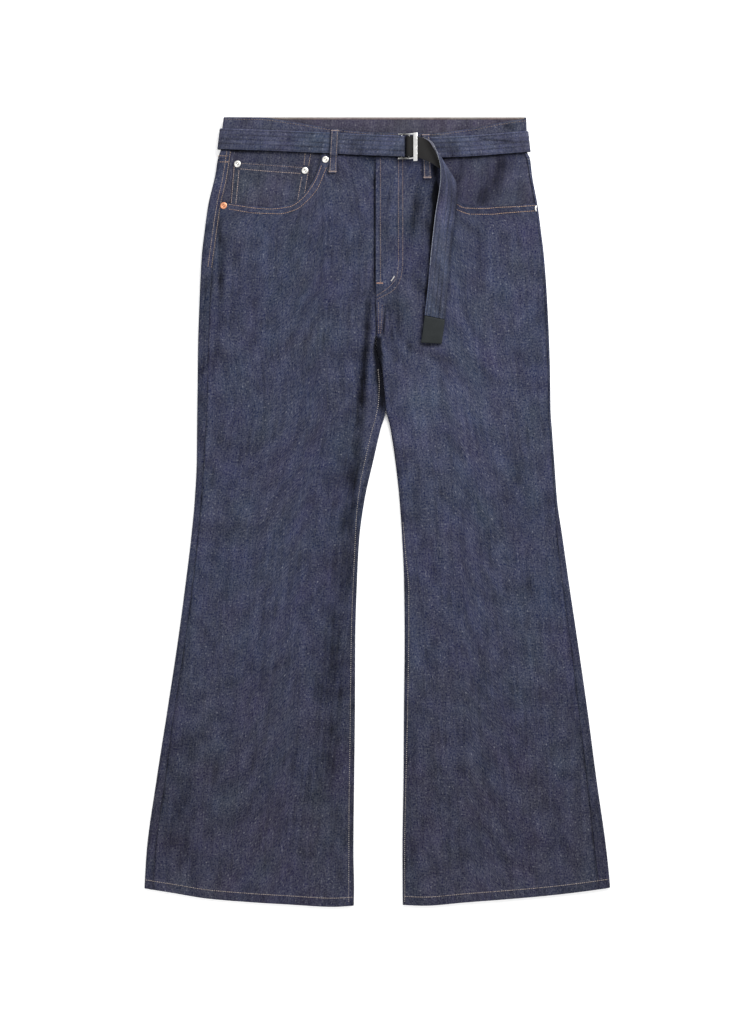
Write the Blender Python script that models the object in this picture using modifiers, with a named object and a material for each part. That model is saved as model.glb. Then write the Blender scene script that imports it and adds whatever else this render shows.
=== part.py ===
"""Wide leg jeans laid flat with the front up, and their own denim belt.

Lengths in this script are millimetres until a mesh is made, which is in metres. X runs to the
viewer's right, Y from the hems (low) to the waist (high) and Z up from the surface. "Right" and
"left" are the wearer's, so the right leg lies at negative X. Each leg is a flattened tube: the
back panel lies underneath and comes round both edges to the seams on the front face.
"""
import bmesh
import bpy
import numpy as np
from mathutils import Vector

MM = 0.001

# ---------------------------------------------------------------- driving sizes, in millimetres
CLOTH = 1.4            # one wall of denim
GAP = 0.3              # between neighbouring pieces
YOKE_GAP = 0.5         # at the yoke seams, where the cloth bends
BAND = 2.6             # waistband, two layers
BELT = 2.6             # belt strap, denim on a dark backing
LOOP = 1.6             # belt loop, folded denim
TIP = 3.0              # dark end of the belt
LAP = CLOTH + GAP      # how far one wall lying on another is raised
EASE = 0.35            # extra room under a curved front

CENTRE_X = -2.0        # centre front and centre back
CROTCH_Y = 203.0       # where the four leg seams meet
CROTCH_RUN = 37.0      # height over which the rise closes into two tubes
FLY_END_Y = 293.0      # lower end of the fly's lap
UNDERLAP_X = 10.0      # how far the right front runs under the fly
HEM_START_Y = -490.0   # lowest level section above the curved hems
POCKET_LINE_Y = 390.0  # first level section below the pocket mouths
LEG_ROWS = (POCKET_LINE_Y, 350.0, 318.0, 290.0, 262.0, 240.0, 220.0, 203.0, 186.0, 164.0, 138.0,
            108.0, 72.0, 32.0, -10.0, -58.0, -110.0, -166.0, -226.0, -290.0, -354.0, -422.0, HEM_START_Y)

SEAM_ANGLE = 9.0       # in degrees: an inseam's half gap, on the turn at the inner edge
TURN_SHARES = 1.0 - np.cos(np.radians([90.0, 60.0, 30.0, SEAM_ANGLE]))
OVER_SHARES = np.array([1.0, 0.5, 0.2, 0.05, 0.0])
FLY_STOPS = np.array([32.0, 20.0, 10.0])
FRONT_SPANS = 10       # columns across a front, up to the fly
BACK_SPANS = 8         # columns across the flat part of a back
TURN_COLUMNS = len(TURN_SHARES) - 1
FRONT_TOP_SHARES = (0.0, 0.3, 0.65)                  # rows from the pocket mouth to the level rows
BACK_TOP_SHARES = (0.0, 0.28, 0.615, 0.73, 0.865)    # rows from the yoke seam to the level rows
YOKE_SHARES = (0.0, 0.25, 0.45, 0.7, 1.0)            # rows down a yoke
FACING_ACROSS = (0.0, 0.045, 0.12, 0.25, 0.4, 0.55, 0.7, 0.85, 1.0)
FACING_DOWN = (0.0, 0.08, 0.17, 0.3, 0.5, 0.75, 1.0)

FLY_RAISE_X = (18.0, 28.0)       # the left front lies on the fly left of these, with a soft edge
FLY_RAISE_RUN = 23.0             # height over which it comes down below the fly
UNDERLAP_RUN = 12.0              # height over which the right front's underlap widens
TURNED_RUN = (10.0, 20.0)        # how far above the crotch's rows the edges stay turned
FACING_TOP_Y = 500.0
FACING_FROM_EDGE = 3.2           # a facing keeps this far from the turned outer edge
FACING_FROM_SEAM = 1.0           # and this far under the side seam
FACING_LEAN = 2.0                # a facing is this much wider at its top
LEFT_EASE_Y = (486.0, 498.0)     # the left facing's extra room ends between these
RIGHT_EASE_Y = (486.0, 496.0)    # and the right one's
UNDER_COIN_X = (-1.0, 7.0)       # from the side seam to where the coin pocket's wall is allowed for

BELT_HALF_WIDTH = 14.5
BELT_EDGE_X = (-220.2, 211.0)    # the belt's outline at the right and left side
BAND_TOP_X = (-213.2, 206.5)     # the waistband's outline at its top edge
BAND_LAP_END_X = -2.4
BAND_LAP_HOLD_X = 13.0           # the lap is level to here
BAND_LAP_DOWN_X = 25.0           # and back on its own layer here
BAND_UNDERLAP_X = 12.0
BAND_FROM_SIDE = 12.0            # the level front part of the waistband ends this far from its sides
BAND_LAP_X = (30.0, BAND_LAP_DOWN_X, 19.0, BAND_LAP_HOLD_X, 5.0, BAND_LAP_END_X)
BAND_LAP_START_X = 40.0
BAND_RIGHT_COLUMNS = 9
BAND_LEFT_COLUMNS = 7
SIDE_STEPS = 8                   # round each side of the waist
BACK_STEPS = 12                  # along the back of the waist

BUCKLE_Y = 505.9
BUCKLE_Z = 15.5
BAR_RADIUS = 1.1
LEFT_BAR_X = 33.6
MIDDLE_BAR_X = 43.7
FLAT_BAR_X = (49.7, 55.5)
FLAT_BAR_Z = (20.0, 22.0)
ROD_REACH = 16.6                 # from the buckle's middle to each rod
ROD_START_X = 28.2
TOP_ROD_RADIUS = 1.3
LOW_ROD_RADIUS = 1.5
FLAT_BAR_REACH = 19.8
BAR_TO_STRAP = 2.85              # from a bar's centre to the middle of the strap round it
BAR_STEPS = 7                    # points of the strap round a bar
STRAP_END = 3.4                  # the strap's cut end lies this far behind the left bar
STRAP_RISE_X = (-38.0, -6.0)     # the belt comes up to the buckle between these
STRAP_RIGHT_X = (22.0, 12.0, 2.0, -8.0, -17.0, -26.0, -36.0, -60.0, -90.0, -120.0, -155.0, -190.0)
TAIL_START = 2.0                 # the tail begins this far beyond the middle bar
STRAP_LEFT_X = (188.0, 160.0, 130.0, 100.0, 75.0, 60.0, MIDDLE_BAR_X + TAIL_START + GAP)
TAIL_FINE_ROW = 8                # the tail's rows are halved from this one on
ROD_PAST_BAR = 1.6               # a rod's overlap with the middle bar
JOINT_START = 0.6                # the sloping joint's overlap with the rod
JOINT_END = 1.8                  # and with the flat bar
JOINT_SIZE = 0.9                 # its thickness, as a share of the rod's
BAR_EDGE = 0.5                   # softened edge of the flat bar

LOOP_HALF_WIDTH = 5.4
BACK_LOOP_X = (-116.0, CENTRE_X, 112.0)
BACK_LOOP_BEND_Z = 2.6           # height of a back loop between the belt and the yoke
BACK_LOOP_TOP = (6.5, 3.0)       # its rows above the belt
BACK_LOOP_DROP = 7.0             # where it bends below the belt
BACK_LOOP_END_Y = (486.0, 480.0, 476.0)
LOOP_PAST_BELT = 0.7             # a loop stays on the belt's level to here
LOOP_BEND = 2.6                  # and is down on the waistband here
LOOP_DROP = 4.2                  # and on the front here
FRONT_LOOPS = {                  # top x, low x, top y, low y
    "right": (-58.6, -62.1, 530.0, 469.6),
    "left": (66.9, 69.6, 523.6, 461.4),
}
RIVET_RADIUS = 4.7
RIVET_HEIGHT = 1.5
BUTTON_RADIUS = 8.0
BUTTON_HEIGHT = 2.0
BUTTON_PLACE = (7.0, 505.5)

POCKET_TOP_Y = 440.0
POCKET_DEPTH = 110.0
POCKET_POINT = 14.0
POCKET_MIDDLE_X = {"r": -112.0, "l": 108.0}
POCKET_HALF_WIDTH = 70.0
POCKET_TAPER = 6.0               # narrower at its lower end, on each side
POCKET_SLANT = 3.0               # the pocket leans with the leg

WAIST_Y = 508.0                  # where the waistband's levels are read
UNDER_BELT_Y = 480.0             # where a front panel's top edge is measured


def table(columns, rows):
    """Rows of numbers as one array for each named column."""
    values = np.array(rows, dtype=float)
    return {name: values[:, index] for index, name in enumerate(columns.split())}


# Middle of the back and front walls above the surface, down the length.
LEVELS = table("y back front", [
    (510.0, 6.1, 9.7),
    (498.0, 6.1, 9.7),
    (487.0, 4.2, 9.6),
    (474.0, 3.3, 8.8),
    (463.0, 2.7, 8.1),
    (451.0, 2.4, 7.7),
    (412.0, 2.4, 7.7),
    (391.0, 2.4, 7.5),
    (312.0, 2.4, 6.6),
    (278.0, 0.8, 5.4),
    (245.0, 0.7, 5.0),
    (-550.0, 0.7, 5.0)])

# Outlines of the two legs, and how far the back comes over each edge onto the front face.
SECTIONS = table("y r_edge r_over r_inner l_inner l_edge l_over", [
    (508.0, -216.8, 14.0, -2.5, -1.5, 207.4, 4.6),
    (502.0, -217.0, 14.0, -2.5, -1.5, 207.6, 4.5),
    (498.0, -218.3, 14.8, -2.5, -1.5, 207.9, 4.5),
    (490.0, -221.0, 16.0, -2.5, -1.5, 211.8, 4.5),
    (466.0, -225.0, 16.3, -2.5, -1.5, 214.8, 3.6),
    (426.0, -234.5, 17.3, -2.5, -1.5, 222.2, 3.2),
    (391.0, -239.4, 16.7, -2.5, -1.5, 226.9, 3.2),
    (355.0, -243.6, 16.0, -2.5, -1.5, 231.2, 3.2),
    (291.0, -246.8, 14.8, -2.5, -1.5, 235.9, 3.2),
    (232.0, -248.8, 14.4, -2.5, -1.5, 238.7, 3.2),
    (203.0, -249.2, 14.3, 4.2, 5.2, 239.6, 3.2),
    (172.0, -249.5, 14.0, 9.2, 10.3, 240.1, 3.2),
    (142.0, -249.9, 13.5, 11.6, 12.8, 240.5, 3.2),
    (114.0, -250.2, 12.2, 4.3, 18.4, 242.4, 3.2),
    (72.0, -250.6, 10.1, -5.3, 24.6, 245.5, 3.2),
    (17.0, -253.4, 9.3, -17.6, 30.7, 249.5, 3.4),
    (-38.0, -258.6, 9.8, -25.0, 34.4, 257.4, 7.6),
    (-94.0, -265.4, 10.3, -28.0, 36.9, 265.3, 9.2),
    (-177.0, -276.5, 10.2, -30.5, 37.8, 277.6, 10.2),
    (-274.0, -291.2, 10.2, -30.9, 36.9, 291.5, 12.2),
    (-371.0, -306.3, 12.2, -32.0, 36.2, 304.2, 13.6),
    (-472.0, -320.2, 12.6, -33.0, 34.8, 318.3, 16.4),
    (-522.0, -323.2, 12.0, -32.2, 35.0, 323.2, 15.2),
    (-550.0, -324.8, 12.0, -32.6, 35.3, 324.8, 15.0)])

# Hem curves: distance across a leg from its outer edge (0) to its inner edge (1).
HEMS = table("across right left", [
    (0.00, -522.0, -521.0),
    (0.15, -529.0, -527.0),
    (0.30, -536.0, -532.0),
    (0.50, -541.0, -537.0),
    (0.70, -544.5, -541.5),
    (0.90, -547.6, -546.0),
    (1.00, -546.0, -545.0)])

# Pocket mouths, from the side seam to the waistband.
MOUTHS = table("r_x r_y l_x l_y", [
    (-217.0, 428.7, 221.0, 428.0),
    (-176.0, 425.0, 174.0, 423.4),
    (-150.0, 422.6, 138.0, 423.6),
    (-124.0, 425.5, 119.0, 427.5),
    (-104.6, 437.7, 105.0, 439.0),
    (-89.0, 459.2, 95.5, 459.2),
    (-79.4, 481.4, 90.3, 480.0),
    (-75.3, 497.2, 88.5, 491.8)])

# Lower edges of the facings under the fronts, from the side seam inwards.
FACINGS = table("r_x r_y l_x l_y", [
    (-219.0, 404.0, 222.0, 404.0),
    (-150.0, 402.0, 134.0, 404.0),
    (-118.0, 405.0, 112.0, 409.0),
    (-92.0, 419.0, 93.0, 422.0),
    (-76.0, 443.0, 80.0, 446.0),
    (-66.0, 471.0, 75.0, 473.0)])

# Coin pocket corners, from its outer top corner round to its outer lower one.
COIN_POCKET = table("x y", [
    (-196.5, 486.0),
    (-94.0, 479.5),
    (-105.0, 414.0),
    (-204.5, 414.0)])

# The front half of the waistband, and the belt's middle on the front and on the back.
WAIST = table("x top bottom belt belt_back", [
    (-219.0, 547.1, 505.6, 516.8, 516.8),
    (-165.0, 546.8, 502.8, 514.9, 519.5),
    (-121.0, 541.0, 500.1, 513.2, 521.6),
    (-60.0, 531.2, 496.6, 510.4, 523.8),
    (-2.0, 525.4, 493.4, 507.2, 524.3),
    (73.0, 524.7, 491.8, 504.8, 523.0),
    (127.0, 530.8, 494.5, 506.6, 520.2),
    (175.0, 540.3, 500.1, 510.2, 516.8),
    (211.0, 545.8, 503.5, 513.2, 513.2)])

BACK_TOP_Y = 547.3
BACK_SEAM_Y = 507.5

# Back yoke seam, from the side (0) to the centre back (1).
YOKE_SEAM = table("across y", [
    (0.0, 489.5),
    (0.1, 488.0),
    (0.6, 464.0),
    (1.0, 447.0)])

# Largest folds of the front faces: soft troughs (negative) and ridges between two points.
FOLDS = table("x0 y0 x1 y1 half_width height", [
    (-12.0, 248.0, -45.0, 12.0, 11.0, -1.7),
    (-4.0, 190.0, -30.0, 60.0, 8.0, 0.6),
    (14.0, 292.0, 36.0, 225.0, 9.0, -1.0),
    (28.0, 240.0, 70.0, 130.0, 12.0, -0.8),
    (60.0, 330.0, 92.0, 250.0, 14.0, -0.9),
    (130.0, 400.0, 190.0, 330.0, 16.0, 0.7),
    (-214.0, 384.0, -222.0, 240.0, 8.0, -0.9),
    (-140.0, 20.0, -175.0, -330.0, 24.0, 0.9),
    (150.0, 20.0, 190.0, -330.0, 26.0, 0.8),
    (-70.0, -120.0, -80.0, -420.0, 20.0, -0.7),
    (90.0, -160.0, 84.0, -430.0, 20.0, -0.7)])

# The free end of the belt: rulings from its upper (then left) edge to its lower (then right) edge.
TAIL = table("ax ay az bx by bz", [
    (52.0, 520.0, 18.35, 52.0, 491.6, 18.35),
    (56.5, 518.7, 18.3, 57.0, 489.9, 18.3),
    (59.0, 518.4, 18.1, 65.5, 486.8, 18.0),
    (61.3, 517.9, 18.0, 74.5, 482.8, 17.6),
    (64.0, 517.1, 18.2, 84.0, 476.5, 17.1),
    (66.6, 516.1, 19.0, 93.1, 470.3, 16.9),
    (69.6, 514.7, 20.5, 100.8, 464.7, 17.4),
    (73.0, 512.0, 22.3, 106.0, 459.9, 18.8),
    (76.2, 507.4, 23.8, 108.5, 454.3, 20.4),
    (79.4, 501.1, 24.6, 109.5, 448.1, 21.4),
    (82.6, 493.8, 24.6, 109.9, 442.5, 21.2),
    (85.5, 485.2, 24.0, 110.0, 436.3, 20.0),
    (87.5, 475.1, 22.6, 109.9, 430.0, 18.2),
    (87.7, 463.3, 20.0, 109.6, 423.8, 16.2),
    (85.2, 442.5, 15.6, 108.5, 413.4, 13.4),
    (80.8, 416.2, 12.0, 106.3, 399.6, 11.2),
    (77.2, 387.1, 10.3, 104.0, 377.4, 10.2),
    (73.3, 349.7, 9.8, 101.0, 344.1, 9.7),
    (70.0, 310.9, 9.3, 97.2, 305.3, 9.3),
    (65.7, 272.8, 8.1, 93.8, 267.2, 8.1)])

TIP_CORNERS = table("ax ay bx by", [
    (65.4, 272.2, 93.7, 266.6),
    (63.0, 252.0, 91.5, 249.0),
    (60.4, 234.7, 89.0, 233.0)])
TIP_LEVEL = 7.8

# Pocket rivets: place, and the number of walls lying under the top one there.
RIVETS = {
    "rivet_coin_outer": (-193.9, 482.4, "coin"),
    "rivet_coin_inner": (-100.3, 473.3, "coin"),
    "rivet_right_inner": (-71.8, 488.3, "front"),
    "rivet_right_outer": (-213.0, 424.6, "front"),
    "rivet_left_outer": (217.8, 420.6, "front"),
    "rivet_left_inner": (83.6, 483.5, "front"),
}

DENIM_RIGHT = (0.050, 0.050, 0.085)
DENIM_LEFT = (0.045, 0.052, 0.085)
DENIM_BELT = (0.055, 0.058, 0.100)
DARK_BACKING = (0.012, 0.012, 0.013)
SILVER = (0.80, 0.80, 0.80)
COPPER = (0.55, 0.30, 0.18)


# ---------------------------------------------------------------- curves through the tables
def smooth(at, knots, values):
    """A cubic curve through the knots whose slopes are limited, so that it never overshoots."""
    if knots[0] > knots[-1]:
        knots = knots[::-1]
        values = values[::-1]
    step = np.diff(knots)
    rise = np.diff(values) / step
    before = rise[:-1]
    after = rise[1:]
    same_way = before * after > 0.0
    total = np.where(same_way, before + after, 1.0)
    middle = np.where(same_way, 2.0 * before * after / total, 0.0)
    slopes = np.concatenate(([rise[0]], middle, [rise[-1]]))
    at = np.clip(np.asarray(at, dtype=float), knots[0], knots[-1])
    span = np.clip(np.searchsorted(knots, at) - 1, 0, len(step) - 1)
    t = (at - knots[span]) / step[span]
    start = values[span] * (1.0 + 2.0 * t) * (1.0 - t) ** 2
    end = values[span + 1] * t * t * (3.0 - 2.0 * t)
    start_slope = slopes[span] * step[span] * t * (1.0 - t) ** 2
    end_slope = slopes[span + 1] * step[span] * t * t * (t - 1.0)
    return start + end + start_slope + end_slope


def ease(value, low, high):
    """0 below low, 1 above high, with a soft change between them."""
    t = np.clip((value - low) / (high - low), 0.0, 1.0)
    return t * t * (3.0 - 2.0 * t)


def along(points, shares):
    """Points at the given shares of the distance along a smooth curve through the points."""
    lengths = np.linalg.norm(np.diff(points, axis=0), axis=1)
    travelled = np.concatenate(([0.0], np.cumsum(lengths)))
    at = travelled[-1] * shares
    return np.stack([smooth(at, travelled, points[:, axis]) for axis in range(points.shape[1])], axis=1)


def level(wall, y):
    """Height of the middle of the back or front wall at y."""
    return smooth(y, LEVELS["y"], LEVELS[wall])


def section(column, y):
    """One column of the leg sections at y."""
    return smooth(y, SECTIONS["y"], SECTIONS[column])


def waist(column, x):
    """One column of the waist table at x."""
    return smooth(x, WAIST["x"], WAIST[column])


def closing(y):
    """0 where the hips are one tube, 1 where each leg is its own tube."""
    return 1.0 - ease(y, CROTCH_Y, CROTCH_Y + CROTCH_RUN)


# ---------------------------------------------------------------- the flat tube of each leg
def inwards(side):
    """Direction of X from a leg's outer edge to its inner edge."""
    return 1.0 if side == "r" else -1.0


def outer_middle(side, y):
    """X of the middle of the cloth where it turns at the outer edge."""
    return section(side + "_edge", y) + inwards(side) * CLOTH / 2


def inner_middle(side, y):
    """X of the middle of the cloth where it turns at the inner edge."""
    return section(side + "_inner", y) - inwards(side) * CLOTH / 2


def inner_end_x(side, y):
    """X of the cloth's inner end: the centre seam above the crotch, the inseam below it."""
    sign = inwards(side)
    closed = closing(y)
    centre = (section("r_inner", y) + section("l_inner", y)) / 2
    turned = 1.0 - ease(y, CROTCH_Y + TURNED_RUN[0], CROTCH_Y + CROTCH_RUN + TURNED_RUN[1])
    apart = GAP / 2 + (CLOTH / 2 + EASE) * turned
    return (1.0 - closed) * (centre - sign * apart) + closed * inner_middle(side, y)


def turn_radius(y):
    """Radius of the fold at the edges: half the distance between the walls."""
    return (level("front", y) - level("back", y)) / 2


def rise(distance, y):
    """Share of the full height reached at a distance from the edge, on a round turn."""
    short = np.clip(1.0 - distance / turn_radius(y), 0.0, 1.0)
    return np.sqrt(1.0 - short * short)


def flat_share(side, x, y):
    """1 where the cloth lies flat, falling to 0 at the middle of the turn at an edge."""
    outer = rise(np.abs(x - outer_middle(side, y)), y)
    inner = rise(np.abs(x - inner_end_x(side, y)), y)
    closed = closing(y)
    return outer * (1.0 - closed + closed * inner)


def fold_height(x, y):
    """Sum of the soft troughs and ridges at a place on the front."""
    height = np.zeros(np.broadcast(x, y).shape)
    for x0, y0, x1, y1, half_width, amount in zip(*FOLDS.values()):
        run_x = x1 - x0
        run_y = y1 - y0
        length = np.hypot(run_x, run_y)
        t = ((x - x0) * run_x + (y - y0) * run_y) / length ** 2
        across = ((x - x0) * run_y - (y - y0) * run_x) / length
        ends = ease(t, -0.1, 0.25) * ease(-t, -1.1, -0.75)
        height = height + amount * ends * np.exp(-(across / half_width) ** 2)
    return height


def front_height(side, x, y):
    """Middle of the front wall: its level, folds and fly lap, turned down at the edges."""
    centre = (level("front", y) + level("back", y)) / 2
    top = level("front", y) + fold_height(x, y)
    if side == "l":
        on_fly = ease(-x, -FLY_RAISE_X[1], -FLY_RAISE_X[0]) * ease(y, FLY_END_Y - FLY_RAISE_RUN, FLY_END_Y)
        top = top + LAP * on_fly
    return centre + (top - centre) * flat_share(side, x, y)


def back_height(side, x, y):
    """Middle of the back wall, turned up at the edges."""
    centre = (level("front", y) + level("back", y)) / 2
    return centre - (centre - level("back", y)) * flat_share(side, x, y)


def seam_x(side, y):
    """X of the side seam on the front face."""
    return section(side + "_edge", y) + inwards(side) * section(side + "_over", y)


def front_end_x(side, y):
    """X of a front panel's inner end; the right front runs on under the fly."""
    end = inner_end_x(side, y)
    if side == "r":
        end = end + (UNDERLAP_X - CENTRE_X) * ease(y, FLY_END_Y, FLY_END_Y + UNDERLAP_RUN)
    return end


def front_x(side, y, spans):
    """X across a front panel, closer together at its inner end; y has a height for each column."""
    start = seam_x(side, y) + inwards(side) * GAP / 2
    width = np.abs(front_end_x(side, y) - start)
    return start + inwards(side) * across_stops(width, turn_radius(y), spans)


def across_stops(width, radius, spans):
    """Distances across a panel from its outer end; both sizes have a value for each column."""
    shares = np.linspace(0.0, 1.0, spans + 1)[:-1]
    flat_end = spans + len(FLY_STOPS)
    even = (width[..., :spans] - FLY_STOPS[0]) * shares
    at_fly = width[..., spans:flat_end] - FLY_STOPS
    at_turn = width[..., flat_end:] - radius[..., flat_end:] * TURN_SHARES
    return np.concatenate((even, at_fly, at_turn), axis=-1)


def hem_y(side, across):
    """Y of the curved hem at a share of the leg's width."""
    column = "right" if side == "r" else "left"
    return smooth(across, HEMS["across"], HEMS[column])


def mouth_boundary(side, spans):
    """Top edge of a front panel: along the pocket mouth, then along the waistband."""
    sign = inwards(side)
    mouth = np.stack((MOUTHS[side + "_x"], MOUTHS[side + "_y"]), axis=1)
    mouth[0, 0] = seam_x(side, mouth[0, 1]) + sign * GAP / 2
    end_x = front_end_x(side, UNDER_BELT_Y)
    waist_x = np.linspace(mouth[-1, 0], end_x, 4)
    waist_y = waist("bottom", waist_x) - GAP
    mouth[-1, 1] = waist_y[0]
    points = np.concatenate((mouth, np.stack((waist_x, waist_y), axis=1)[1:]))
    steps = np.linalg.norm(np.diff(points, axis=0), axis=1)
    travelled = np.concatenate(([0.0], np.cumsum(steps)))
    columns = spans + len(FLY_STOPS) + len(TURN_SHARES)
    stops = across_stops(np.full(columns, travelled[-1]), np.full(columns, turn_radius(UNDER_BELT_Y)), spans)
    x = smooth(stops, travelled, points[:, 0])
    y = smooth(stops, travelled, points[:, 1])
    return x, y


def front_panel(side):
    """Grid of a front leg panel, from its pocket mouth and waist seam to its hem."""
    top_x, top_y = mouth_boundary(side, FRONT_SPANS)
    rows = np.repeat(np.array(LEG_ROWS)[:, None], len(top_x), axis=1)
    rows_x = front_x(side, rows, FRONT_SPANS)
    share = np.array(FRONT_TOP_SHARES)[:, None]
    upper_x = (1.0 - share) * top_x + share * rows_x[0]
    upper_y = (1.0 - share) * top_y + share * rows[0]

    outer = outer_middle(side, HEM_START_Y)
    across = (rows_x[-1] - outer) / (inner_middle(side, HEM_START_Y) - outer)
    hem = hem_y(side, across)[None]
    x = np.concatenate((upper_x, rows_x, front_x(side, hem, FRONT_SPANS)))
    y = np.concatenate((upper_y, rows, hem))
    return np.stack((x, y, front_height(side, x, y)), axis=-1)


def round_the_back(side, y, spans):
    """Places round the back: over the outer edge, underneath, and up the inner edge's turn.

    y holds a height for each row and column, so that a row may follow a curved seam or hem.
    """
    sign = inwards(side)
    over_y = y[:, :len(OVER_SHARES)]
    over = section(side + "_over", over_y) - CLOTH / 2 - GAP / 2
    over_x = outer_middle(side, over_y) + sign * over * OVER_SHARES
    turn_y = y[:, len(OVER_SHARES):len(OVER_SHARES) + TURN_COLUMNS]
    turn_x = outer_middle(side, turn_y) + sign * turn_radius(turn_y) * TURN_SHARES[-2::-1]
    end_y = y[:, -len(TURN_SHARES):]
    end_x = inner_end_x(side, end_y) - sign * turn_radius(end_y) * TURN_SHARES
    share = np.linspace(0.0, 1.0, spans + 1)[1:-1]
    flat_x = turn_x[:, -1:] + (end_x[:, :1] - turn_x[:, -1:]) * share
    x = np.concatenate((over_x, turn_x, flat_x, end_x), axis=1)
    above = front_height(side, x, y)
    below = back_height(side, x, y)
    on_front = np.arange(x.shape[1]) < len(OVER_SHARES)
    return np.stack((x, y, np.where(on_front, above, below)), axis=-1)


def back_columns(spans):
    """Share of the width, outer edge 0 to inner edge 1, at each column round the back."""
    inside = np.linspace(0.0, 1.0, spans + 1)[1:-1]
    return np.concatenate((np.zeros(len(OVER_SHARES) + TURN_COLUMNS), inside, np.ones(len(TURN_SHARES))))


def yoke_y(across):
    """Y of the back yoke's seam at a share of the width."""
    return smooth(across, YOKE_SEAM["across"], YOKE_SEAM["y"])


def back_panel(side):
    """Grid of a back leg panel, from the yoke seam to the hem."""
    across = back_columns(BACK_SPANS)
    top = yoke_y(across) - YOKE_GAP / 2
    hem = hem_y(side, across)
    share = np.array(BACK_TOP_SHARES)[:, None]
    upper = (1.0 - share) * top + share * POCKET_LINE_Y
    legs = np.repeat(np.array(LEG_ROWS)[:, None], len(across), axis=1)
    return round_the_back(side, np.concatenate((upper, legs, hem[None])), BACK_SPANS)


def yoke(side):
    """Grid of a back yoke, from the waistband seam to the yoke seam."""
    across = back_columns(BACK_SPANS)
    top = np.full(across.shape, BACK_SEAM_Y - GAP)
    top[:len(OVER_SHARES) + TURN_COLUMNS] = waist("bottom", seam_x(side, BACK_SEAM_Y)) - GAP
    bottom = yoke_y(across) + YOKE_GAP / 2
    share = np.array(YOKE_SHARES)[:, None]
    return round_the_back(side, (1.0 - share) * top + share * bottom, BACK_SPANS)


# ---------------------------------------------------------------- pieces on the front
def facing_depth(side, x, y):
    """How far the facing lies below the front: one wall, or two where the coin pocket lies on it."""
    if side == "l":
        return LAP + EASE * ease(-y, -LEFT_EASE_Y[1], -LEFT_EASE_Y[0])
    beside_seam = ease(x - seam_x(side, y), UNDER_COIN_X[0], UNDER_COIN_X[1])
    under_coin = beside_seam * ease(-y, -RIGHT_EASE_Y[1], -RIGHT_EASE_Y[0])
    return LAP + (LAP + EASE / 2) * under_coin


def facing(side):
    """Grid of the denim behind a pocket mouth."""
    shares = np.array(FACING_ACROSS)
    sign = inwards(side)
    low = np.stack((FACINGS[side + "_x"], FACINGS[side + "_y"]), axis=1)
    low[0, 0] = facing_start_x(side, low[0, 1])
    low = along(low, shares)
    top_end = low[-1, 0] + sign * FACING_LEAN
    top_start = facing_start_x(side, FACING_TOP_Y)
    top_x = top_start + (top_end - top_start) * shares
    top_y = waist("bottom", top_x) - GAP
    share = np.array(FACING_DOWN)[:, None]
    x = (1.0 - share) * top_x + share * low[:, 0]
    y = (1.0 - share) * top_y + share * low[:, 1]
    x[:, 0] = facing_start_x(side, y[:, 0])
    z = front_height(side, x, y) - facing_depth(side, x, y)
    return np.stack((x, y, z), axis=-1)


def facing_start_x(side, y):
    """X of a facing's outer edge: just under the side seam, and clear of the turned edge."""
    from_edge = np.maximum(section(side + "_over", y) - FACING_FROM_SEAM, FACING_FROM_EDGE)
    return section(side + "_edge", y) + inwards(side) * from_edge


def coin_pocket():
    """Grid of the coin pocket, which lies between the facing and the front."""
    x = COIN_POCKET["x"]
    y = COIN_POCKET["y"]
    u = np.linspace(0.0, 1.0, 7)[None, :]
    v = np.linspace(0.0, 1.0, 6)[:, None]
    grid_x = (1 - v) * ((1 - u) * x[0] + u * x[1]) + v * ((1 - u) * x[3] + u * x[2])
    grid_y = (1 - v) * ((1 - u) * y[0] + u * y[1]) + v * ((1 - u) * y[3] + u * y[2])
    z = front_height("r", grid_x, grid_y) - LAP
    return np.stack((grid_x, grid_y, z), axis=-1)


def back_pocket(side):
    """Grid of a plain patch pocket lying flat under the back panel."""
    sign = inwards(side)
    u = np.linspace(-1.0, 1.0, 7)[None, :]
    v = np.linspace(0.0, 1.0, 4)[:, None]
    half_width = POCKET_HALF_WIDTH - POCKET_TAPER * v
    x = POCKET_MIDDLE_X[side] - sign * POCKET_SLANT * v + u * half_width
    y = POCKET_TOP_Y + POCKET_SLANT * u * sign - v * (POCKET_DEPTH + POCKET_POINT * (1.0 - np.abs(u)))
    z = np.full(x.shape, CLOTH / 2)
    return np.stack((x, y, z), axis=-1)


# ---------------------------------------------------------------- waistband, belt and loops
def half_turn(x, low, high, side_sign, steps):
    """Points of a half circle in X and Z from the high level down to the low level."""
    angle = np.linspace(np.pi / 2, -np.pi / 2, steps + 1)
    radius = (high - low) / 2
    centre = x - side_sign * radius
    return np.stack((centre + side_sign * radius * np.cos(angle), low + radius + radius * np.sin(angle)), 1)


def ring_path(right_x, left_x, low, high, front_right, front_left):
    """X and Z round the body: front right part, right side, back, left side, front left part."""
    right_turn = half_turn(right_x, low, high, -1.0, SIDE_STEPS)
    left_turn = half_turn(left_x, low, high, 1.0, SIDE_STEPS)[::-1]
    back_x = np.linspace(right_turn[-1, 0], left_turn[0, 0], BACK_STEPS)[1:-1]
    back = np.stack((back_x, np.full(back_x.shape, low)), axis=1)
    return np.concatenate((front_right, right_turn, back, left_turn, front_left))


def face_share(path, low, high):
    """1 on the front, 0 on the back, and between them round the sides."""
    return ease(path[:, 1], low, high)


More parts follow.
